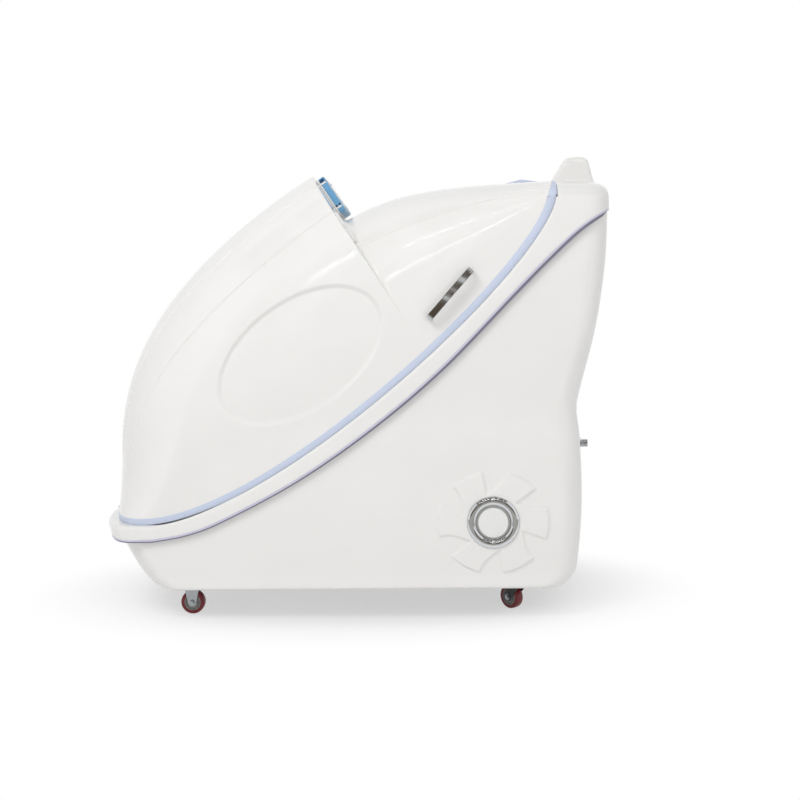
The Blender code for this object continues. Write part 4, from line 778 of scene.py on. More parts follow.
# Chrome plate: mirror-bright, with only a breath of haze in 6 mm clouds
chrome = new_finish("bright_chrome_plate")
where = add_node(chrome, "ShaderNodeTexCoord", {}).outputs["Object"]
haze = add_node(chrome, "ShaderNodeTexNoise", {"Vector": where, "Scale": 1 / 0.006, "Detail": 2.0})
tone = add_node(chrome, "ShaderNodeMix", {
    0: haze.outputs["Fac"], 6: linear("#C9CBCD"), 7: linear("#D8DADC")}, data_type="RGBA")
gloss = add_node(chrome, "ShaderNodeMapRange", {
    "Value": haze.outputs["Fac"], "To Min": 0.04, "To Max": 0.10})
add_node(chrome, "Principled BSDF", {
    "Base Color": tone.outputs[2], "Metallic": 1.0, "Roughness": gloss.outputs["Result"]})

# White acrylic cap: brighter and harder than the gelcoat, with a faint 4 mm moulding swirl
cap_white = new_finish("white_moulded_acrylic")
where = add_node(cap_white, "ShaderNodeTexCoord", {}).outputs["Object"]
swirl = add_node(cap_white, "ShaderNodeTexNoise", {"Vector": where, "Scale": 1 / 0.004, "Detail": 1.0})
tone = add_node(cap_white, "ShaderNodeMix", {
    0: swirl.outputs["Fac"], 6: linear("#E9E9E8"), 7: linear("#EFEFEE")}, data_type="RGBA")
gloss = add_node(cap_white, "ShaderNodeMapRange", {
    "Value": swirl.outputs["Fac"], "To Min": 0.08, "To Max": 0.14})
add_node(cap_white, "Principled BSDF", {"Base Color": tone.outputs[2], "Roughness": gloss.outputs["Result"]})

badge_y = 0.3823
bezel_middle = 0.0555
bezel_half = 0.0125
bezel_high = 0.0115
bezel_bore = 0.0392
cap_radius = 0.0385
cap_high = 0.0090
bezel = []
for k in range(21):
    turn = math.pi * k / 20
    bezel.append((bezel_middle + bezel_half * math.cos(turn), 0.0005 + bezel_high * math.sin(turn)))
bezel += [(bezel_middle - bezel_half, 0.0016), (bezel_bore, 0.0016), (bezel_bore, 0.0),
          (bezel_middle + bezel_half, 0.0)]
cap = rounded([(0.0, cap_high, 0), (cap_radius, cap_high - 0.0018, 0.0030), (cap_radius, 0.0, 0),
               (0.0, 0.0, 0)], 8)
for side, tag in ((-1, "left"), (1, "right")):
    badge = (fan_centre.x, side * badge_y, fan_centre.y)
    ring = lathe(bezel, badge, (0, side, 0), 96)
    show("bezel_" + tag, ring, chrome, "base", "badge_bezel_" + tag, sharp=50.0)
    show("cap_" + tag, lathe(cap, badge, (0, side, 0), 64), cap_white, "base", "badge_cap_" + tag)


# Water inlet: a threaded tail turned in brass and chrome-plated, pushed through the skirt's back from
# inside until its collar seats, and clamped from outside by a hex locknut.
inlet_height = 0.440
inlet_spot = (read_line(back_line, inlet_height), -0.250, inlet_height)
tail_bore = 0.0075
tail_crest, tail_root = 0.0104, 0.0096
tail_collar = 0.0135
thread_pitch = 0.0018
inlet = [(tail_bore, 0.0260), (0.0098, 0.0260)]
for k in range(11):
    out = 0.0255 - thread_pitch * k
    inlet += [(tail_crest, out), (tail_root, out - thread_pitch / 2)]
inlet += [(tail_crest, -0.008), (tail_collar, -0.008), (tail_collar, -0.022), (tail_bore, -0.022)]
show("inlet_tail", lathe(inlet, inlet_spot, (1, 0, 0), 40), chrome, "base", "water_inlet", sharp=25.0)
nut = [(0.0107, 0.0087), (0.0135, 0.0087), (0.0153, 0.0077), (0.0155, 0.0022), (0.0140, 0.0009),
       (0.0107, 0.0009)]
show("locknut", lathe(nut, inlet_spot, (1, 0, 0), 6), chrome, "base", "inlet_locknut", sharp=20.0)


# Rim moulding: fascia, ledge and head cowl in one gelcoated shell. It caps the skirt all round, and
# its soft upper edge carries the lid's seal; behind the lid it rises into the cowl.
rim_half = 0.395
rim_nose = -0.683
rim_back = 0.683
rim_wall = 0.006
ledge_inset = 0.050
ledge_round = 0.012
fascia_drop = 0.035
nose_slant = 0.35
rim_nose_steps = 64
cowl_front = 0.552
cowl_top = 1.128
cowl_rise = 0.078
cowl_edge = 0.055
cowl_corner = 0.060
cowl_lip = 0.008
arch_power = 2.8


# How far it is from the ledge down to the seam
def seam_below(spot, way):
    for (x0, z0), (x1, z1) in zip(seam_points, seam_points[1:]):
        run = Vector((x1 - x0, z1 - z0))
        side = run.x * way.y - run.y * way.x
        if abs(side) < 1e-9:
            continue
        off = Vector((x0, z0)) - spot
        along = (run.x * off.y - run.y * off.x) / side
        share = (way.x * off.y - way.y * off.x) / side
        if along > 0 and 0 <= share <= 1:
            return along
    return fascia_drop


def rim_section(depth):
    return rounded([(0.0, depth, 0.0015), (0.0, 0.0, ledge_round), (ledge_inset, 0.0, 0.0025),
                    (ledge_inset, rim_wall, 0.0005), (rim_wall, rim_wall, 0.0050),
                    (rim_wall, depth, 0.0010)], 7)


def flank_row(share, side):
    spot = ledge(share)
    way = -ledge_up(share)
    way = way.lerp(Vector((0, 0, -1)), ease(0.55, 1.0, share)).normalized()
    depth = seam_below(Vector((spot.x, spot.z)), Vector((way.x, way.z)))
    skew = ledge_inset * (1 - ease(0.0, 0.25, spot.x - rim_nose - nose_bulge))
    return [spot + way * h + Vector((skew * inset / ledge_inset, side * (rim_half - inset), 0))
            for inset, h in rim_section(depth)]


def nose_row(angle):
    c, s = arch(angle, nose_power)
    outer = Vector((rim_nose + nose_bulge - nose_bulge * c, rim_half * s, ledge_nose.z))
    inner = outer + Vector((ledge_inset, -ledge_inset * s, 0))
    return [outer.lerp(inner, inset / ledge_inset) + Vector((nose_slant * c * h, 0, -h))
            for inset, h in rim_section(fascia_drop)]


def butt_row(side):
    top = ledge(1.0).z
    depth = top - read_line(seam_points, cowl_front)
    return [Vector((cowl_front, side * (rim_half - inset), top - h)) for inset, h in rim_section(depth)]


flank_shares = [(k / 90) ** 1.25 for k in range(91)]
rim_rows = [butt_row(-1)] + [flank_row(share, -1) for share in reversed(flank_shares)]
rim_rows += [nose_row(-math.pi / 2 + math.pi * k / rim_nose_steps) for k in range(rim_nose_steps + 1)]
rim_rows += [flank_row(share, 1) for share in flank_shares] + [butt_row(1)]


def cowl_ring(half, front, back, front_round, height):
    corner = min(cowl_corner, half * 0.95, (back - front) * 0.45)
    front_round = min(front_round, half * 0.5)
    ring = []
    for k in range(24):
        ring.append((front, -(half - front_round) * (1 - 2 * k / 24)))
    for k in range(5):
        turn = math.pi / 2 * k / 5
        ring.append((front + front_round * (1 - math.cos(turn)), half - front_round * (1 - math.sin(turn))))
    for k in range(8):
        ring.append((front + front_round + (back - corner - front - front_round) * k / 8, half))
    for k in range(10):
        turn = math.pi / 2 * k / 10
        ring.append((back - corner + corner * math.sin(turn), half - corner * (1 - math.cos(turn))))
    back_run = [(back, (half - corner) * (1 - 2 * k / 24)) for k in range(25)]
    near_side = [(x, -y) for x, y in reversed(ring[24:])]
    return [Vector((x, y, height(x))) for x, y in ring + back_run + near_side]


def seam_at(x):
    return read_line(seam_points, x)


cowl_rows = []
for share in (0.0, 0.02, 0.3, 0.65):
    cowl_rows.append(cowl_ring(rim_half, cowl_front, rim_back, 0.0001,
                               lambda x: seam_at(x) + (cowl_top - cowl_rise - seam_at(x)) * share))
for k in range(29):
    c, s = arch(math.pi / 2 * k / 28, arch_power)
    z = cowl_top - cowl_rise * (1 - s)
    over_edge = max(z - (cowl_top - cowl_edge), 0.0)
    back = rim_back - cowl_edge + math.sqrt(max(cowl_edge ** 2 - over_edge ** 2, 0.0))
    lip = cowl_lip * ease(1.062, 1.090, z)
    over_lip = max(z - (cowl_top - cowl_lip), 0.0)
    front = cowl_front + cowl_lip - math.sqrt(max(cowl_lip ** 2 - over_lip ** 2, 0.0))
    cowl_rows.append(cowl_ring(max(rim_half * c, 0.0002), front, back, max(lip, 0.0001), lambda x: z))
cowl = loft(cowl_rows)
bmesh.ops.remove_doubles(cowl, verts=cowl.verts, dist=2e-5)
crown_edges = [e for e in cowl.edges if e.is_boundary and e.verts[0].co.z > cowl_top - cowl_lip]
bmesh.ops.holes_fill(cowl, edges=crown_edges, sides=0)
bmesh.ops.recalc_face_normals(cowl, faces=cowl.faces)
rim = gathered(loft(rim_rows, capped=True), thickened(cowl, rim_wall))
show("rim_shell", rim, gelcoat, "base", "rim_moulding", sharp=38.0)


# Seam trim: a pale lilac vinyl edging pushed on under the fascia's lower edge, all the way round.
# Below its lip a dark grey strip bridges to the skirt: painted shade standing for the shadow gap there.

# Matt vinyl: pale lilac lip with a soft grain of about 1 mm that only softens the gloss
vinyl = new_finish("pale_lilac_vinyl")
where = add_node(vinyl, "ShaderNodeTexCoord", {}).outputs["Object"]
grain = add_node(vinyl, "ShaderNodeTexNoise", {"Vector": where, "Scale": 1 / 0.001, "Detail": 2.0})
tone = add_node(vinyl, "ShaderNodeMix", {
    0: grain.outputs["Fac"], 6: linear("#CBC9DF"), 7: linear("#D6D4E8")}, data_type="RGBA")
gloss = add_node(vinyl, "ShaderNodeMapRange", {
    "Value": grain.outputs["Fac"], "To Min": 0.45, "To Max": 0.60})
relief = add_node(vinyl, "ShaderNodeBump", {
    "Strength": 0.2, "Distance": 0.0002, "Height": grain.outputs["Fac"]})
add_node(vinyl, "Principled BSDF", {
    "Base Color": tone.outputs[2], "Roughness": gloss.outputs["Result"], "Normal": relief.outputs["Normal"]})

# Painted shade: a dark grey matt strip for the shadow gap under the edging, with a 2 mm mottle
seam_shadow_paint = new_finish("dark_grey_painted_seam_shadow")
where = add_node(seam_shadow_paint, "ShaderNodeTexCoord", {}).outputs["Object"]
mottle = add_node(seam_shadow_paint, "ShaderNodeTexNoise", {"Vector": where, "Scale": 1 / 0.002, "Detail": 2.0})
tone = add_node(seam_shadow_paint, "ShaderNodeMix", {
    0: mottle.outputs["Fac"], 6: linear("#7C798A"), 7: linear("#8A8797")}, data_type="RGBA")
gloss = add_node(seam_shadow_paint, "ShaderNodeMapRange", {
    "Value": mottle.outputs["Fac"], "To Min": 0.50, "To Max": 0.65})
add_node(seam_shadow_paint, "Principled BSDF", {"Base Color": tone.outputs[2], "Roughness": gloss.outputs["Result"]})

trim_lip = 0.0050
trim_deep = 0.0060
shadow_gap_set_back = 0.0030
shadow_gap_deep = 0.0115
flank_start, flank_stop = rim_nose + nose_bulge, rim_back - cowl_corner
flank = [(flank_start + (flank_stop - flank_start) * k / 120, rim_half) for k in range(1, 120)]
ring = plan_ring(rim_nose, rim_back, rim_half, cowl_corner, rim_nose_steps, 12)
nose_run, back_run = ring[:rim_nose_steps + 1], ring[rim_nose_steps + 1:]
trim_path = nose_run + flank + back_run + [(x, -y) for x, y in reversed(flank)]
trim_path = [Vector((x, y, seam_at(x))) for x, y in trim_path]
for k in range(rim_nose_steps + 1):
    lean = arch(-math.pi / 2 + math.pi * k / rim_nose_steps, nose_power)[0]
    trim_path[k].x += nose_slant * fascia_drop * lean
trim_rows, shadow_gap_rows = [], []
for k, spot in enumerate(trim_path):
    run = (trim_path[(k + 1) % len(trim_path)] - trim_path[k - 1]).normalized()
    inward = Vector((run.y, -run.x, 0.0)).normalized()
    up = run.cross(inward).normalized()
    up = -up if up.z < 0 else up
    lip = rounded([(0.0003, -0.0002, 0.0008), (trim_deep, -0.0002, 0.0004), (trim_deep, -trim_lip, 0.0004),
                   (0.0003, -trim_lip, 0.0014)], 3)
    trim_rows.append([spot + inward * a + up * b for a, b in lip])
    # The painted shadow strip grows taller up the flank and runs out at the back corners
    tall = 0.0032 + 0.0036 * ease(-0.30, 0.55, spot.x)
    low = -trim_lip - tall * (1 - 0.85 * ease(rim_back - 0.024, rim_back - 0.001, spot.x))
    foot = rounded([(shadow_gap_set_back, 0.0002 - trim_lip, 0.0003), (shadow_gap_deep, 0.0002 - trim_lip, 0.0003),
                    (shadow_gap_deep, low, 0.0004), (shadow_gap_set_back, low, 0.0004)], 3)
    shadow_gap_rows.append([spot + inward * a + up * b for a, b in foot])
show("seam_edging", loft(trim_rows + trim_rows[:1]), vinyl, "base", "seam_trim")
# The dark strip below the lilac lip is painted shade for the gap, not a second colour of the edging
show("seam_painted_shadow_gap", loft(shadow_gap_rows + shadow_gap_rows[:1]), seam_shadow_paint, "base")


# Headrest: a hollow leaning pad moulded in the same white gelcoat and bonded on the cowl. Its foot
# flares out in a soft fillet and reaches down into the cowl, so that no gap shows at the back.
headrest_height = 0.074
sunk_front, sunk_back = 0.557, 0.677
sunk_half, sunk_corner, sunk_deep = 0.131, 0.012, 0.020
headrest_half = 0.125
headrest_front, headrest_back = 0.5495, 0.674
headrest_corner = 0.013
front_lean, back_lean, side_lean = 0.047, 0.019, 0.005
foot_flare, flare_high = 0.009, 0.014
crown_round = 0.015


def pad_ring(front, back, half, corner, z):
    ring = rounded([(front, -half, corner), (back, -half, corner), (back, half, corner),
                    (front, half, corner)], 10)
    return [Vector((x, y, z)) for x, y in ring]


headrest_rows = [pad_ring(sunk_front, sunk_back, sunk_half, sunk_corner, cowl_top - sunk_deep)]
for k in range(40):
    h = headrest_height * (1 - math.cos(math.pi * k / 39)) / 2
    share = h / headrest_height
    flare = foot_flare * max(1 - h / flare_high, 0.0) ** 2
    over_top = max(h - (headrest_height - crown_round), 0.0)
    draw = crown_round - math.sqrt(max(crown_round ** 2 - over_top ** 2, 0.0))
    front = headrest_front + front_lean * share ** 0.85 - flare * 0.2 + draw
    back = headrest_back - back_lean * share + flare * 0.5 - draw
    half = headrest_half - side_lean * share + flare - draw
    corner = min(headrest_corner, (back - front) * 0.48)
    headrest_rows.append(pad_ring(front, back, half, corner, cowl_top - 0.0020 * (1 - share) + h))
show("headrest_pad", loft(headrest_rows, capped=True), gelcoat, "base", "headrest", sharp=50.0)


# Lid hinges: two stainless butt hinges at the foot, each a base leaf on the ledge, a lid leaf up the
# nose and a pin through three rolled knuckles.
hinge_x, hinge_z = -0.663, 0.265
hinge_y = 0.070
hinge_wide = 0.050
knuckle_step = hinge_wide / 3
knuckle_long = knuckle_step - 0.001
leaf_thick = 0.0022
leaf_low = 0.2553
leaf_top = leaf_low + leaf_thick
lid_leaf_x = -0.6570
screw_y = 0.016
pin_radius, pin_half = 0.0025, 0.027


def knuckle(y):
    ring = rounded([(0.0030, -knuckle_long / 2, 0.0003), (0.0050, -knuckle_long / 2, 0.0005),
                    (0.0050, knuckle_long / 2, 0.0005), (0.0030, knuckle_long / 2, 0.0003)], 3)
    return lathe(ring, (hinge_x, y, hinge_z), (0, 1, 0), 28)


def screw_head(spot, way):
    dome = [(0.0, 0.0012), (0.0012, 0.0011), (0.0022, 0.0008), (0.0030, 0.0002), (0.0030, -0.0010),
            (0.0, -0.0010)]
    return lathe(dome, spot, way, 20)


for side, tag in ((-1, "left"), (1, "right")):
    y = side * hinge_y
    leaf = slab(0.020, hinge_wide, leaf_low, leaf_top, 0.003, 0.0004)
    base_leaf = [moved(leaf, (hinge_x - 0.003, y, 0))]
    for end in (-1, 1):
        base_leaf.append(knuckle(y + end * knuckle_step))
        web = slab(0.0090, knuckle_long, 0.2560, hinge_z - 0.0028, 0.0006, 0.0003)
        base_leaf.append(moved(web, (hinge_x, y + end * knuckle_step, 0)))
        base_leaf.append(screw_head((hinge_x - 0.0095, y + end * screw_y, leaf_top), (0, 0, 1)))
    show("hinge_base_leaf_" + tag, gathered(*base_leaf), stainless, "base", "hinge_base_" + tag)
    leaf = slab(0.038, hinge_wide, -leaf_thick / 2, leaf_thick / 2, 0.003, 0.0004)
    upright = Matrix.Rotation(-math.pi / 2, 4, "Y")
    leaf.transform(Matrix.Translation((lid_leaf_x, y, hinge_z + 0.0240)) @ upright)
    arm = slab(0.0072, knuckle_long, hinge_z, hinge_z + 0.0090, 0.0006, 0.0003)
    lid_leaf = [leaf, moved(arm, (lid_leaf_x - 0.003, y, 0)), knuckle(y)]
    for end in (-1, 1):
        spot = (lid_leaf_x - leaf_thick / 2, y + end * screw_y, hinge_z + 0.030)
        lid_leaf.append(screw_head(spot, (-1, 0, 0)))
    show("hinge_lid_leaf_" + tag, gathered(*lid_leaf), stainless, "lid", "hinge_lid_" + tag)
    pin = rounded([(0.0, -pin_half, 0), (pin_radius, -pin_half, 0.0008), (pin_radius, pin_half, 0.0008),
                   (0.0, pin_half, 0)], 3)
    pin = lathe(pin, (hinge_x, y, hinge_z), (0, 1, 0), 24)
    show("hinge_pin_rod_" + tag, pin, stainless, "base", "hinge_pin_" + tag)


# Gas struts: a black-coated cylinder on the tub and a chromed rod on the lid, at each side, with
# zinc-plated brackets. They hold the lid up and are hidden while it is down.
strut_half = 0.290
base_pin = Vector((-0.247087, -strut_half, 0.206547))
lid_pin = Vector((-0.404422, -strut_half, 0.595964))
strut_run = (lid_pin - base_pin).normalized()
for side, tag in ((-1, "left"), (1, "right")):
    low, high = base_pin.copy(), lid_pin.copy()
    low.y, high.y = side * strut_half, side * strut_half
    eye = rounded([(0.0045, -0.006, 0.0004), (0.0095, -0.006, 0.0008), (0.0095, 0.006, 0.0008),
                   (0.0045, 0.006, 0.0004)], 3)
    cylinder = rounded([(0.0065, 0.030, 0.0004), (0.0065, 0.360, 0.0004), (0.0110, 0.360, 0.0015),
                        (0.0110, 0.023, 0.0020), (0.0055, 0.016, 0.0015), (0.0055, 0.008, 0.0005),
                        (0.0010, 0.008, 0), (0.0010, 0.030, 0)], 4)
    tube = gathered(lathe(cylinder, low, strut_run), lathe(eye, low, (0, 1, 0), 32))
    show("strut_cylinder_" + tag, tube, black_coat, "strut_tube_" + tag, "strut_tube_" + tag)
    rod = rounded([(0.0, -0.366, 0), (0.0050, -0.366, 0.0010), (0.0050, -0.007, 0.0005), (0.0, -0.007, 0)], 3)
    piston = gathered(lathe(rod, high, strut_run, 32), lathe(eye, high, (0, 1, 0), 32))
    show("strut_piston_" + tag, piston, chrome, "strut_rod_" + tag, "strut_rod_" + tag)
    for stem in ("strut_base_bracket_", "strut_lid_bracket_"):
        coat_node(stem + tag, zinc_plate)


# Lid: hood, step and neck deck in one gelcoated glass-fibre shell, with two soft creases over the hood,
# an oval pressed into each flank and a round-ended notch for the neck.
lid_half = 0.370
lid_flank = 0.2
lid_wall = 0.007
edge_lift, edge_climb = 0.012, 0.009
step_share = 0.578
step_drop = 0.27
hood_top = Vector((-0.092, 0.0, 1.171))
nose_pull, top_pull = Vector((0, 0, 0.150)), Vector((-0.640, 0, -0.380))
power_dip = 0.15
lip_round = 0.007
foot_round = 0.016
creases = (math.radians(43.0), math.radians(57.0))
crease_rise = 0.0030
crease_soft = math.radians(0.30)
deck_drift = 0.23
oval_centre = Vector((-0.106, 0.688))
oval_long, oval_short = 0.236, 0.139
oval_tilt = math.radians(33.6)
oval_depth = 0.0085
oval_wall = 0.0125


def lid_edge(share):
    return ledge(share) + ledge_up(share) * (edge_lift + edge_climb * share)


hood_nose = Vector((-0.655, 0.0, lid_edge(0.0).z))
step_edge = lid_edge(step_share)
step_foot = step_edge.lerp(hood_top, 1 - step_drop)
deck_end = Vector((ledge_head.x, 0.0, cowl_top))


# A point of one cross rib: an arch from the lid's edge over its crown, lifted past each crease
def rib_point(edge, crown, angle, power, rises, drift=0.0):
    run = crown - edge
    c, s = arch(angle - drift * math.sin(2 * angle), power)
    lean = min(angle, math.pi - angle)
    lift = sum(rise * ease(crease - crease_soft, crease + crease_soft, lean)
               for rise, crease in zip(rises, creases))
    out = run.normalized() * (abs(s) ** (power - 1) / run.length)
    out.y -= math.copysign(abs(c) ** (power - 1) / lid_half, c)
    return edge + run * s + Vector((0, -lid_half * c, 0)) + out.normalized() * lift


def hood_point(along, angle):
    crown = cubic(hood_nose, hood_nose + nose_pull, hood_top + top_pull, hood_top, along)
    fade = crease_rise * ease(0.22, 0.40, along)
    power = nose_power - power_dip * ease(0.0, 0.15, along)
    power += (arch_power + power_dip - nose_power) * ease(0.20, 0.68, along)
    return rib_point(lid_edge(step_share * along ** 1.6), crown, angle, power, (fade, fade))


def deck_point(along, angle):
    pull = step_foot + Vector((0.150, 0, 0.062))
    rise, fall = pull + Vector((0, 0, 0.034)), pull.lerp(deck_end, 0.5) + Vector((0, 0, 0.015))
    crown = cubic(step_foot, rise, fall, deck_end, along)
    edge = lid_edge(step_share + (1 - step_share) * along)
    return rib_point(edge, crown, angle, arch_power, (crease_rise, 0.0), deck_drift * along)


# Where one line along the lid turns over the lip and off the step's face, and its pace beside them
def lid_track(angle):
    lip, foot = hood_point(1.0, angle), deck_point(0.0, angle)
    hood_pace = (lip - hood_point(0.97, angle)).length / 0.03
    deck_pace = (deck_point(0.03, angle) - foot).length / 0.03
    fall = (foot - lip).length
    return lip, foot, hood_pace, deck_pace, fall


tracks = {}


# A value along of 0 to 1 runs up the hood, 1 to 2 down the step's face and 2 to 3 over the deck;
# near the lip and the foot of the step, neighbours are averaged, which rounds both corners
def lid_spot(along, angle):
    key = round(angle, 6)
    if key not in tracks:
        tracks[key] = lid_track(angle)
    lip, foot, hood_pace, deck_pace, fall = tracks[key]

    def at(reach):
        if reach < 0:
            return hood_point(max(1 + reach / hood_pace, 0.0), angle)
        if reach < fall:
            return lip.lerp(foot, reach / fall)
        return deck_point(min((reach - fall) / deck_pace, 1.0), angle)

    if along <= 1:
        reach = (along - 1) * hood_pace
    elif along <= 2:
        reach = (along - 1) * fall
    else:
        reach = fall + (along - 2) * deck_pace
    for corner, radius in ((0.0, lip_round), (fall, foot_round)):
        radius = min(radius, 0.45 * fall)
        if abs(reach - corner) < radius:
            spread = [at(reach + radius * k / 6) for k in range(-6, 7)]
            return sum(spread, Vector()) / len(spread)
    if along <= 1:
        return hood_point(along, angle)
    if along <= 2:
        return lip.lerp(foot, along - 1)
    return deck_point(along - 2, angle)


# How far a place on the flank lies outside the oval, less than nothing inside it
def oval_reach(spot):
    off = Vector((spot.x, spot.z)) - oval_centre
    a = (off.x * math.cos(oval_tilt) + off.y * math.sin(oval_tilt)) / oval_long
    b = (off.y * math.cos(oval_tilt) - off.x * math.sin(oval_tilt)) / oval_short
    ratio = math.hypot(a, b)
    steepness = math.hypot(a / oval_long, b / oval_short) / max(ratio, 1e-6)
    return (ratio - 1) / max(steepness, 1e-6)


def near_oval(spread):
    def wanted(centre):
        spot = lid_spot(centre.x, centre.y)
        return abs(spot.y) > lid_flank and abs(oval_reach(spot)) < spread
    return wanted


# Mesh lines draw together at the step's lip and foot, and across each crease
alongs = [k / 100 for k in range(98)] + [0.978, 0.985, 0.990, 0.9935, 0.996, 0.998, 0.9992]
alongs += [1 + k for k in (0.0, 0.008, 0.018, 0.030, 0.050, 0.10, 0.2, 0.35)]
alongs += [1 + k for k in (0.5, 0.65, 0.78, 0.86, 0.90, 0.93, 0.96, 0.98)]
alongs += [2 + k for k in (0.0, 0.008, 0.016, 0.024, 0.034, 0.045)]
alongs += [2.06 + 0.94 * k / 44 for k in range(45)]
quarter = [math.radians(2.0 * k) for k in range(46)]
quarter = [a for a in quarter if all(abs(a - crease) > math.radians(1.7) for crease in creases)]
for crease in creases:
    quarter += [crease + math.radians(0.085 * k) for k in range(-6, 7)] + [crease - 0.016, crease + 0.016]
quarter.sort()
angles = quarter + [math.pi - a for a in reversed(quarter[:-1])]
lid = chart(alongs, angles)
for spread in (0.030, 0.018, 0.012):
    refine(lid, near_oval(spread))
for vert in lid.verts:
    spot = lid_spot(vert.co.x, vert.co.y)
    if abs(spot.y) > lid_flank:
        dip = oval_depth * (1 - slope(-oval_wall / 2, oval_wall / 2, oval_reach(spot)))
        spot.y -= math.copysign(dip, spot.y)
    vert.co = spot
bmesh.ops.remove_doubles(lid, verts=lid.verts, dist=1e-5)
for face in lid.faces:
    face.normal_update()
if sum(face.normal.z * face.calc_area() for face in lid.faces) < 0:
    bmesh.ops.reverse_faces(lid, faces=lid.faces)
lid_skin = BVHTree.FromBMesh(lid)

notch_half = 0.095
notch_end = 0.383


def notch_line(half, start, end, steps=32):
    line = [(start, -half)]
    for k in range(steps + 1):
        turn = math.pi * k / steps
        line.append((end + half - half * math.sin(turn), -half * math.cos(turn)))
    return line + [(start, half)]


lid = cut(thickened(lid, lid_wall), prism(notch_line(notch_half, 0.60, notch_end), "Z", 0.9, 1.4))
show("lid_moulding", lid, gelcoat, "lid", "lid_shell", sharp=38.0)


# Lid seal: a band of pale blue vinyl extruded to a section and glued under the lid's edge, where it
# closes on the ledge, and a bead of the same pushed on round the neck notch with a raised lip behind.

# Extruded soft vinyl: pale blue, satin, with faint 3 mm clouding
seal_blue = new_finish("pale_blue_extruded_vinyl")
where = add_node(seal_blue, "ShaderNodeTexCoord", {}).outputs["Object"]
cloud = add_node(seal_blue, "ShaderNodeTexNoise", {"Vector": where, "Scale": 1 / 0.003, "Detail": 2.0})
tone = add_node(seal_blue, "ShaderNodeMix", {
    0: cloud.outputs["Fac"], 6: linear("#C8D2E8"), 7: linear("#D1D9EC")}, data_type="RGBA")
gloss = add_node(seal_blue, "ShaderNodeMapRange", {
    "Value": cloud.outputs["Fac"], "To Min": 0.34, "To Max": 0.46})
relief = add_node(seal_blue, "ShaderNodeBump", {
    "Strength": 0.1, "Distance": 0.0002, "Height": cloud.outputs["Fac"]})
add_node(seal_blue, "Principled BSDF", {
    "Base Color": tone.outputs[2], "Roughness": gloss.outputs["Result"], "Normal": relief.outputs["Normal"]})

seal_height, seal_climb = 0.0165, 0.0045


def seal_section(height):
    return rounded([(-0.0050, 0.0003, 0.0008), (0.0008, 0.0003, 0.0008), (0.0012, height / 2, 0.020),
                    (0.0008, height - 0.0002, 0.0022), (-0.0050, height - 0.0002, 0.0008)], 5)


def seal_flank(share, side):
    spot, up = ledge(share), ledge_up(share)
    height = seal_height + seal_climb * share
    return [spot + up * b + Vector((0, side * (lid_half + a), 0)) for a, b in seal_section(height)]


def seal_nose(angle):
    c, s = arch(angle, nose_power)
    spot = lid_edge(0.0).lerp(hood_nose, s) + Vector((0, -lid_half * c, 0))
    ahead, behind = (arch(angle + step, nose_power) for step in (0.01, -0.01))
    run = Vector(((hood_nose.x - lid_edge(0.0).x) * (ahead[1] - behind[1]),
                  -lid_half * (ahead[0] - behind[0]), 0))
    out = Vector((-run.y, run.x, 0)).normalized()
    return [Vector((spot.x, spot.y, ledge_nose.z + b)) + out * a for a, b in seal_section(seal_height)]


def seal_rear(angle, side):
    edge = deck_point(1.0, angle)
    run = deck_point(1.0, angle + 0.01) - deck_point(1.0, max(angle - 0.01, 0.0))
    back = Vector((ledge_head.x + 0.0032 * ease(0.0, 0.3, angle), edge.y,
                   edge.z - 0.003 * (1 - ease(0.0, 0.5, angle))))
    across = edge - back
    out = across.cross(run).normalized()
    out = out if out.y < 0 else -out
    row = [back + across.normalized() * b + out * a for a, b in seal_section(across.length)]
    return [Vector((p.x, -side * p.y, p.z)) for p in row]


notch_angle = max(k / 400 for k in range(600) if deck_point(1.0, k / 400).y < -notch_half - 0.002)
rear_angles = [0.02 + (notch_angle - 0.02) * k / 40 for k in range(41)]
seal_rows = [seal_rear(angle, -1) for angle in reversed(rear_angles)]
seal_rows += [seal_flank(share, -1) for share in reversed(flank_shares)]
seal_rows += [seal_nose(math.pi * k / rim_nose_steps) for k in range(1, rim_nose_steps)]
seal_rows += [seal_flank(share, 1) for share in flank_shares]
seal_rows += [seal_rear(angle, 1) for angle in rear_angles]
show("lid_seal", loft(seal_rows, capped=True), seal_blue, "lid", "lid_edge_band", sharp=45.0)

bead_radius = 0.0055
bead_end = 0.544
neck_lip = 0.017
bead_path = []
for x, y in notch_line(notch_half - bead_radius, bead_end, notch_end + bead_radius, 40):
    deck = lid_skin.ray_cast(Vector((x, y * 1.06, 2.0)), Vector((0, 0, -1)))[0]
    bead_path.append(Vector((x, y, deck.z - lid_wall / 2 + 0.0012)))
bead_rows = []
for k, spot in enumerate(bead_path):
    run = (bead_path[min(k + 1, len(bead_path) - 1)] - bead_path[max(k - 1, 0)]).normalized()
    side = Vector((run.y, -run.x, 0)).normalized()
    up = side.cross(run)
    lip = neck_lip * ease(0.40, 0.51, spot.x) * (1 - 0.75 * ease(0.505, 0.545, spot.x))
    ring = []
    for n in range(20):
        a, b = math.cos(2 * math.pi * n / 20), math.sin(2 * math.pi * n / 20)
        ring.append((a * (bead_radius - lip * 0.12 * max(b, 0.0)),
                     b * bead_radius + lip * ease(-0.4, 0.4, b)))
    bead_rows.append([spot + side * a + up * b for a, b in ring])
show("neck_edging", loft(bead_rows, capped=True), seal_blue, "lid", "neck_bead", sharp=50.0)


# Control panel: a mid-blue ABS housing with a smoked window and three white push keys. It sits on a
# white plinth on the step's face, held by four screws, and white clips, dark catches and black studs
# show along its two ends.

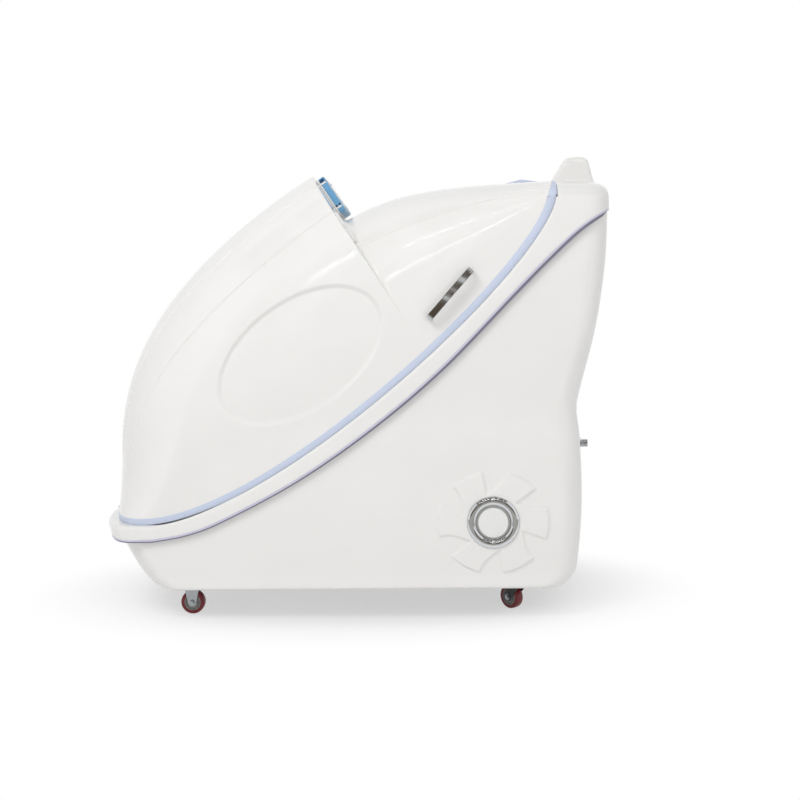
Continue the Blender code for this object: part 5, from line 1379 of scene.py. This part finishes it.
# Moulded ABS: mid blue, satin, with a 1.2 mm spark-eroded texture
panel_blue = new_finish("mid_blue_moulded_abs")
where = add_node(panel_blue, "ShaderNodeTexCoord", {}).outputs["Object"]
spark = add_node(panel_blue, "ShaderNodeTexNoise", {"Vector": where, "Scale": 1 / 0.0012, "Detail": 2.0})
tone = add_node(panel_blue, "ShaderNodeMix", {
    0: spark.outputs["Fac"], 6: linear("#6AA6D2"), 7: linear("#77B0D9")}, data_type="RGBA")
gloss = add_node(panel_blue, "ShaderNodeMapRange", {
    "Value": spark.outputs["Fac"], "To Min": 0.28, "To Max": 0.42})
relief = add_node(panel_blue, "ShaderNodeBump", {
    "Strength": 0.15, "Distance": 0.0002, "Height": spark.outputs["Fac"]})
add_node(panel_blue, "Principled BSDF", {
    "Base Color": tone.outputs[2], "Roughness": gloss.outputs["Result"], "Normal": relief.outputs["Normal"]})

# Smoked acrylic window: near-black and glassy, with a faint 20 mm unevenness in its polish
smoked = new_finish("smoked_acrylic_window")
where = add_node(smoked, "ShaderNodeTexCoord", {}).outputs["Object"]
polish = add_node(smoked, "ShaderNodeTexNoise", {"Vector": where, "Scale": 1 / 0.020, "Detail": 2.0})
tone = add_node(smoked, "ShaderNodeMix", {
    0: polish.outputs["Fac"], 6: linear("#0C131C"), 7: linear("#141E2A")}, data_type="RGBA")
gloss = add_node(smoked, "ShaderNodeMapRange", {
    "Value": polish.outputs["Fac"], "To Min": 0.04, "To Max": 0.09})
add_node(smoked, "Principled BSDF", {"Base Color": tone.outputs[2], "Roughness": gloss.outputs["Result"]})

# Dark blue nylon: the catches near the panel's upper corners, matt, mottled at about 2 mm
catch_blue = new_finish("dark_blue_moulded_nylon")
where = add_node(catch_blue, "ShaderNodeTexCoord", {}).outputs["Object"]
mottle = add_node(catch_blue, "ShaderNodeTexNoise", {"Vector": where, "Scale": 1 / 0.002, "Detail": 2.0})
tone = add_node(catch_blue, "ShaderNodeMix", {
    0: mottle.outputs["Fac"], 6: linear("#1C4264"), 7: linear("#2A557A")}, data_type="RGBA")
add_node(catch_blue, "Principled BSDF", {"Base Color": tone.outputs[2], "Roughness": 0.45})

# White ABS keys: matt, a little polished by fingers in 5 mm patches
key_white = new_finish("white_moulded_abs")
where = add_node(key_white, "ShaderNodeTexCoord", {}).outputs["Object"]
touch = add_node(key_white, "ShaderNodeTexNoise", {"Vector": where, "Scale": 1 / 0.005, "Detail": 3.0})
tone = add_node(key_white, "ShaderNodeMix", {
    0: touch.outputs["Fac"], 6: linear("#ECECEA"), 7: linear("#F2F2F0")}, data_type="RGBA")
gloss = add_node(key_white, "ShaderNodeMapRange", {
    "Value": touch.outputs["Fac"], "To Min": 0.30, "To Max": 0.48})
add_node(key_white, "Principled BSDF", {"Base Color": tone.outputs[2], "Roughness": gloss.outputs["Result"]})

face_up = (hood_top - step_edge).normalized()
face_out = Vector((face_up.z, 0.0, -face_up.x))
panel_drop = 0.068
panel_middle = hood_top - face_up * panel_drop + face_out * 0.0003
seat = Matrix((Vector((0, 1, 0)), face_up, face_out)).transposed().to_4x4()
seat = Matrix.Translation(panel_middle) @ seat


def seated(bm, x=0.0, y=0.0):
    bm.transform(seat @ Matrix.Translation((x, y, 0)))
    return bm


panel_wide, panel_high = 0.170, 0.112
panel_thick = 0.022
panel_plinth = 0.004
panel_corner = 0.012
window_wide, window_high = 0.146, 0.058
window_thick = 0.0025
window_up = 0.016
window_gap = 0.0003
key_wide, key_high = 0.026, 0.014
key_down = -0.037
key_gap = 0.0004
key_places = (("left", -0.044), ("middle", 0.0), ("right", 0.044))
over_face = panel_thick + 0.01
housing = slab(panel_wide, panel_high, panel_plinth, panel_thick, panel_corner, 0.004)
pocket = slab(window_wide + 2 * window_gap, window_high + 2 * window_gap,
              panel_thick - window_thick - window_gap, over_face, 0.004, 0.0003)
housing = cut(housing, moved(pocket, (0, window_up, 0)))
for tag, x in key_places:
    well = slab(key_wide + 2 * key_gap, key_high + 2 * key_gap, panel_thick - 0.010, over_face, 0.003, 0.0003)
    housing = cut(housing, moved(well, (x, key_down, 0)))
corners = []
for x in (-0.077, 0.077):
    for y in (-0.0485, 0.0485):
        corners.append(moved(screw_head((0, 0, 0), (0, 0, 1)), (x, y, panel_thick)))
show("panel_case", seated(housing), panel_blue, "lid", "panel_housing", sharp=30.0)
show("panel_screws", seated(gathered(*corners)), stainless, "lid")
plinth = slab(panel_wide + 0.001, panel_high + 0.001, 0.0, panel_plinth + 0.0004,
              panel_corner + 0.0005, 0.0008)
clips, ends, studs = [], [], []
for side in (-1, 1):
    x = side * (panel_wide / 2 + 0.0001)
    for y in (-0.0400, 0.0385):
        clips.append(moved(slab(0.0018, 0.0050, 0.003, 0.0195, 0.0008, 0.0003), (x, y, 0)))
    ends.append(moved(slab(0.0014, 0.0090, 0.005, 0.0190, 0.0006, 0.0003), (x, 0.0465, 0)))
    for z in (0.0062, 0.0170):
        stud = screw_head((0, 0, 0), (side, 0, 0))
        studs.append(moved(stud, (x + side * 0.0002, -0.0340, z)))
show("panel_plinth", seated(gathered(plinth, *clips)), key_white, "lid")
show("panel_end_catches", seated(gathered(*ends)), catch_blue, "lid")
show("panel_studs", seated(gathered(*studs)), black_coat, "lid")
window = slab(window_wide, window_high, panel_thick - window_thick, panel_thick, 0.0037, 0.0004)
show("panel_window", seated(window, 0.0, window_up), smoked, "lid", "panel_screen")
for tag, x in key_places:
    key = slab(key_wide, key_high, panel_thick - 0.006, panel_thick + 0.0025, 0.0026, 0.0010)
    show("push_key_" + tag, seated(key, x, key_down), key_white, "key_" + tag, "key_" + tag)


# Pull handles: flat steel straps bent into bows and chrome-plated, one bolted through each flank of
# the lid from inside, so that no fixing shows.
handle_centre = (0.283, 0.835)
handle_tilt = math.radians(48.2)
handle_half = 0.082
handle_stand = 0.028
strap_thick = 0.005
strap_wide = 0.018
strap_edge = 0.0012
strap_bow = 0.0020
strap_bend = 0.0075
strap_reach = handle_half - strap_thick / 2


def flank_spot(along, beside):
    x = handle_centre[0] + along * math.cos(handle_tilt) - beside * math.sin(handle_tilt)
    z = handle_centre[1] + along * math.sin(handle_tilt) + beside * math.cos(handle_tilt)
    return lid_skin.ray_cast(Vector((x, -1.0, z)), Vector((0, 1, 0)))[0]


# The strap's path from one foot over the bow to the other, each step with its place and normal
def bow_path():
    top = handle_stand - strap_thick / 2 - strap_bow
    path = [(-strap_reach, h, -1.0, 0.0) for h in (0.0, 0.004, 0.010, 0.016)]
    for k in range(13):
        turn = math.pi / 2 * k / 12
        path.append((-strap_reach + strap_bend * (1 - math.cos(turn)),
                     top - strap_bend * (1 - math.sin(turn)), -math.cos(turn), math.sin(turn)))
    for k in range(1, 8):
        share = k / 8 - 1
        tilt = 2 * strap_bow * share / (strap_reach - strap_bend)
        path.append(((strap_reach - strap_bend) * share, top + strap_bow * (1 - share * share), tilt, 1.0))
    return path + [(-a, h, -na, nh) for a, h, na, nh in reversed(path)]


low_end, high_end = flank_spot(-strap_reach, 0.0), flank_spot(strap_reach, 0.0)
strap_along = (high_end - low_end).normalized()
strap_out = strap_along.cross(flank_spot(0.0, 0.02) - flank_spot(0.0, 0.0)).normalized()
strap_out = -strap_out if strap_out.y > 0 else strap_out
strap_beside = strap_along.cross(strap_out)
strap_foot = (low_end + high_end) / 2 + strap_out * 0.0006
a, b = strap_thick / 2, strap_wide / 2
strap_section = rounded([(-a, -b, strap_edge), (a, -b, strap_edge), (a, b, strap_edge),
                         (-a, b, strap_edge)], 3)
for side, tag in ((-1, "left"), (1, "right")):
    rows = []
    for along, out, bend_along, bend_out in bow_path():
        middle = strap_foot + strap_along * along + strap_out * out
        normal = strap_along * bend_along + strap_out * bend_out
        rows.append([middle + normal * a + strap_beside * b for a, b in strap_section])
    rows = [[Vector((p.x, -side * p.y, p.z)) for p in row] for row in rows]
    show("pull_strap_" + tag, loft(rows, capped=True), chrome, "lid", "handle_" + tag, sharp=10.0)


# Studio: a pale floor that keeps the shadow and runs out to white, soft boxes and long tube lights for
# the streaks on the hood, and, only for what the chrome mirrors, rows of dark cloth flags behind the
# camera and a grey felt sheet low in front of the capsule.


def sheet_of(name, bm, mat):
    obj = bpy.data.objects.new(name, bpy.data.meshes.new(name))
    bm.to_mesh(obj.data)
    bm.free()
    obj.data.materials.append(mat)
    bpy.context.scene.collection.objects.link(obj)
    obj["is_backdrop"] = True
    return obj


# Painted studio floor: matt white, half lifted for the camera so that only a soft shadow is left
# near the capsule, and plain white from a hand's breadth beyond it
floor_white = new_finish("matt_white_studio_floor")
where = add_node(floor_white, "ShaderNodeTexCoord", {}).outputs["Object"]
squeeze = add_node(floor_white, "ShaderNodeMapping", {"Vector": where, "Scale": (1 / 0.70, 1 / 0.45, 1.0)})
far = add_node(floor_white, "ShaderNodeVectorMath", {0: squeeze.outputs["Vector"]}, operation="LENGTH")
fade = add_node(floor_white, "ShaderNodeMapRange", {
    "Value": far.outputs["Value"], "From Min": 0.75, "From Max": 1.45, "To Min": 0.55, "To Max": 1.0},
    interpolation_type="SMOOTHSTEP")
path = add_node(floor_white, "ShaderNodeLightPath", {})
seen = add_node(floor_white, "ShaderNodeMath", {
    0: path.outputs["Is Camera Ray"], 1: path.outputs["Is Glossy Ray"]}, operation="MAXIMUM")
seen = add_node(floor_white, "ShaderNodeMath", {
    0: seen.outputs["Value"], 1: path.outputs["Is Transmission Ray"]}, operation="MAXIMUM")
plain = add_node(floor_white, "ShaderNodeMath", {
    0: seen.outputs["Value"], 1: fade.outputs["Result"]}, operation="MULTIPLY")
paint = add_node(floor_white, "ShaderNodeTexNoise", {"Vector": where, "Scale": 1 / 0.4, "Detail": 2.0})
tone = add_node(floor_white, "ShaderNodeMix", {
    0: paint.outputs["Fac"], 6: linear("#F6F6F6"), 7: linear("#FAFAFA")}, data_type="RGBA")
matt = add_node(floor_white, "Principled BSDF", {
    "Base Color": tone.outputs[2], "Roughness": 0.9, "Specular IOR Level": 0.1})
white = add_node(floor_white, "ShaderNodeEmission", {"Color": (1, 1, 1, 1), "Strength": 1.0})
both = add_node(floor_white, "ShaderNodeMixShader", {
    0: plain.outputs["Value"], 1: matt.outputs["BSDF"], 2: white.outputs["Emission"]})
add_node(floor_white, "Material Output", {"Surface": both.outputs["Shader"]})
disc = bmesh.new()
bmesh.ops.create_circle(disc, cap_ends=True, segments=96, radius=14.0)
sheet_of("studio_floor", disc, floor_white)

# Flag cloth: brown-black and matt, with 30 mm folds that vary its tone a little
flag_cloth = new_finish("brown_black_flag_cloth")
where = add_node(flag_cloth, "ShaderNodeTexCoord", {}).outputs["Object"]
folds = add_node(flag_cloth, "ShaderNodeTexNoise", {"Vector": where, "Scale": 1 / 0.030, "Detail": 3.0})
tone = add_node(flag_cloth, "ShaderNodeMix", {
    0: folds.outputs["Fac"], 6: linear("#5E5242"), 7: linear("#786A57")}, data_type="RGBA")
add_node(flag_cloth, "Principled BSDF", {"Base Color": tone.outputs[2], "Roughness": 0.9})
rows = [(0.10, 1.045), (1.11, 1.235), (1.262, 1.435), (1.515, 2.15), (2.27, 2.85), (2.97, 3.55), (3.67, 4.25)]
flag_pitch = 1.15
flag_wide = 1.0
flag_wall, flag_roof = -4.6, 4.4
flags = [((flag_wall, low), (flag_wall, high), flag_pitch if low < 1.5 else flag_wide) for low, high in rows]
for back in (-4.4, -3.66, -2.92, -2.18, -1.44, -0.70):
    flags.append(((back, flag_roof), (back + 0.62, flag_roof), flag_wide))
cards = []
for row, ((y0, z0), (y1, z1), wide) in enumerate(flags):
    for column in range(-3, 4):
        middle = flag_pitch * column
        card = loft([[Vector((middle + x * wide, y, z)) for x in (-0.5, 0.0, 0.5)]
                     for y, z in ((y0, z0), (y1, z1))], looped=False)
        cards.append(sheet_of("flag_%d_%d" % (row, column + 3), card, flag_cloth))

# Grey felt: a mid-grey sheet low in front of the capsule, with a fleck of about 15 mm
grey_felt = new_finish("mid_grey_felt")
where = add_node(grey_felt, "ShaderNodeTexCoord", {}).outputs["Object"]
fleck = add_node(grey_felt, "ShaderNodeTexNoise", {"Vector": where, "Scale": 1 / 0.015, "Detail": 3.0})
tone = add_node(grey_felt, "ShaderNodeMix", {
    0: fleck.outputs["Fac"], 6: linear("#BDBBB5"), 7: linear("#CAC8C2")}, data_type="RGBA")
add_node(grey_felt, "Principled BSDF", {"Base Color": tone.outputs[2], "Roughness": 0.9})
felt = loft([[Vector((x, y, 0.02)) for x in (-3.5, 0.0, 3.5)] for y in (-4.5, -0.8)], looped=False)
cards.append(sheet_of("felt_sheet", felt, grey_felt))
for card in cards:
    card.visible_camera = False
    card.visible_diffuse = False
    card.visible_transmission = False
    card.visible_shadow = False

# White backdrop: plain white where the camera, a mirror or glass looks at it, and otherwise about
# half of that as light on the capsule, more from the sides than from above
world = bpy.data.worlds.new("studio")
bpy.context.scene.world = world
world.use_nodes = True
path = add_node(world, "ShaderNodeLightPath", {})
seen = add_node(world, "ShaderNodeMath", {
    0: path.outputs["Is Camera Ray"], 1: path.outputs["Is Glossy Ray"]}, operation="MAXIMUM")
seen = add_node(world, "ShaderNodeMath", {
    0: seen.outputs["Value"], 1: path.outputs["Is Transmission Ray"]}, operation="MAXIMUM")
aim = add_node(world, "ShaderNodeTexCoord", {})
height = add_node(world, "ShaderNodeSeparateXYZ", {"Vector": aim.outputs["Generated"]})
dome = add_node(world, "ShaderNodeMapRange", {"Value": height.outputs["Z"], "To Min": 0.62, "To Max": 0.42})
level = add_node(world, "ShaderNodeMapRange", {
    "Value": seen.outputs["Value"], "To Min": dome.outputs["Result"], "To Max": 1.0})
add_node(world, "Background", {"Color": (1, 1, 1, 1), "Strength": level.outputs["Result"]})


def soft_box(name, spot, target, size, watts, mirrored):
    lamp = bpy.data.lights.new(name, "AREA")
    lamp.shape = "RECTANGLE"
    lamp.size, lamp.size_y = size
    lamp.energy = watts
    obj = bpy.data.objects.new(name, lamp)
    obj.location = spot
    obj.rotation_euler = (Vector(target) - Vector(spot)).to_track_quat("-Z", "Y").to_euler()
    obj.visible_glossy = mirrored
    bpy.context.scene.collection.objects.link(obj)


soft_box("key_box", (-1.3, -2.3, 3.1), (0.0, 0.0, 0.6), (1.4, 1.4), 42.0, False)
soft_box("fill_box", (1.7, -3.2, 0.9), (0.2, 0.0, 0.5), (1.2, 1.2), 13.0, False)
soft_box("tube_light_near", (0.07, -2.10, 2.9), (0.07, -2.10, 0.0), (2.46, 0.03), 4.0, True)
soft_box("tube_light_far", (-0.35, -4.0, 2.78), (-0.35, 0.0, 0.8), (3.3, 0.04), 6.0, True)

# Camera: the photograph's standpoint and angle, with nothing out of focus
camera = bpy.data.objects.new("camera", bpy.data.cameras.new("camera"))
camera.location = (0.306, -3.15, 0.790)
camera.rotation_euler = [math.radians(a) for a in (85.4885, 1.1486, 3.1128)]
camera.data.lens = 49.5
camera.data.sensor_width = 36.0
bpy.context.scene.collection.objects.link(camera)
bpy.context.scene.camera = camera
bpy.context.scene.view_settings.view_transform = "Standard"

low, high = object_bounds()
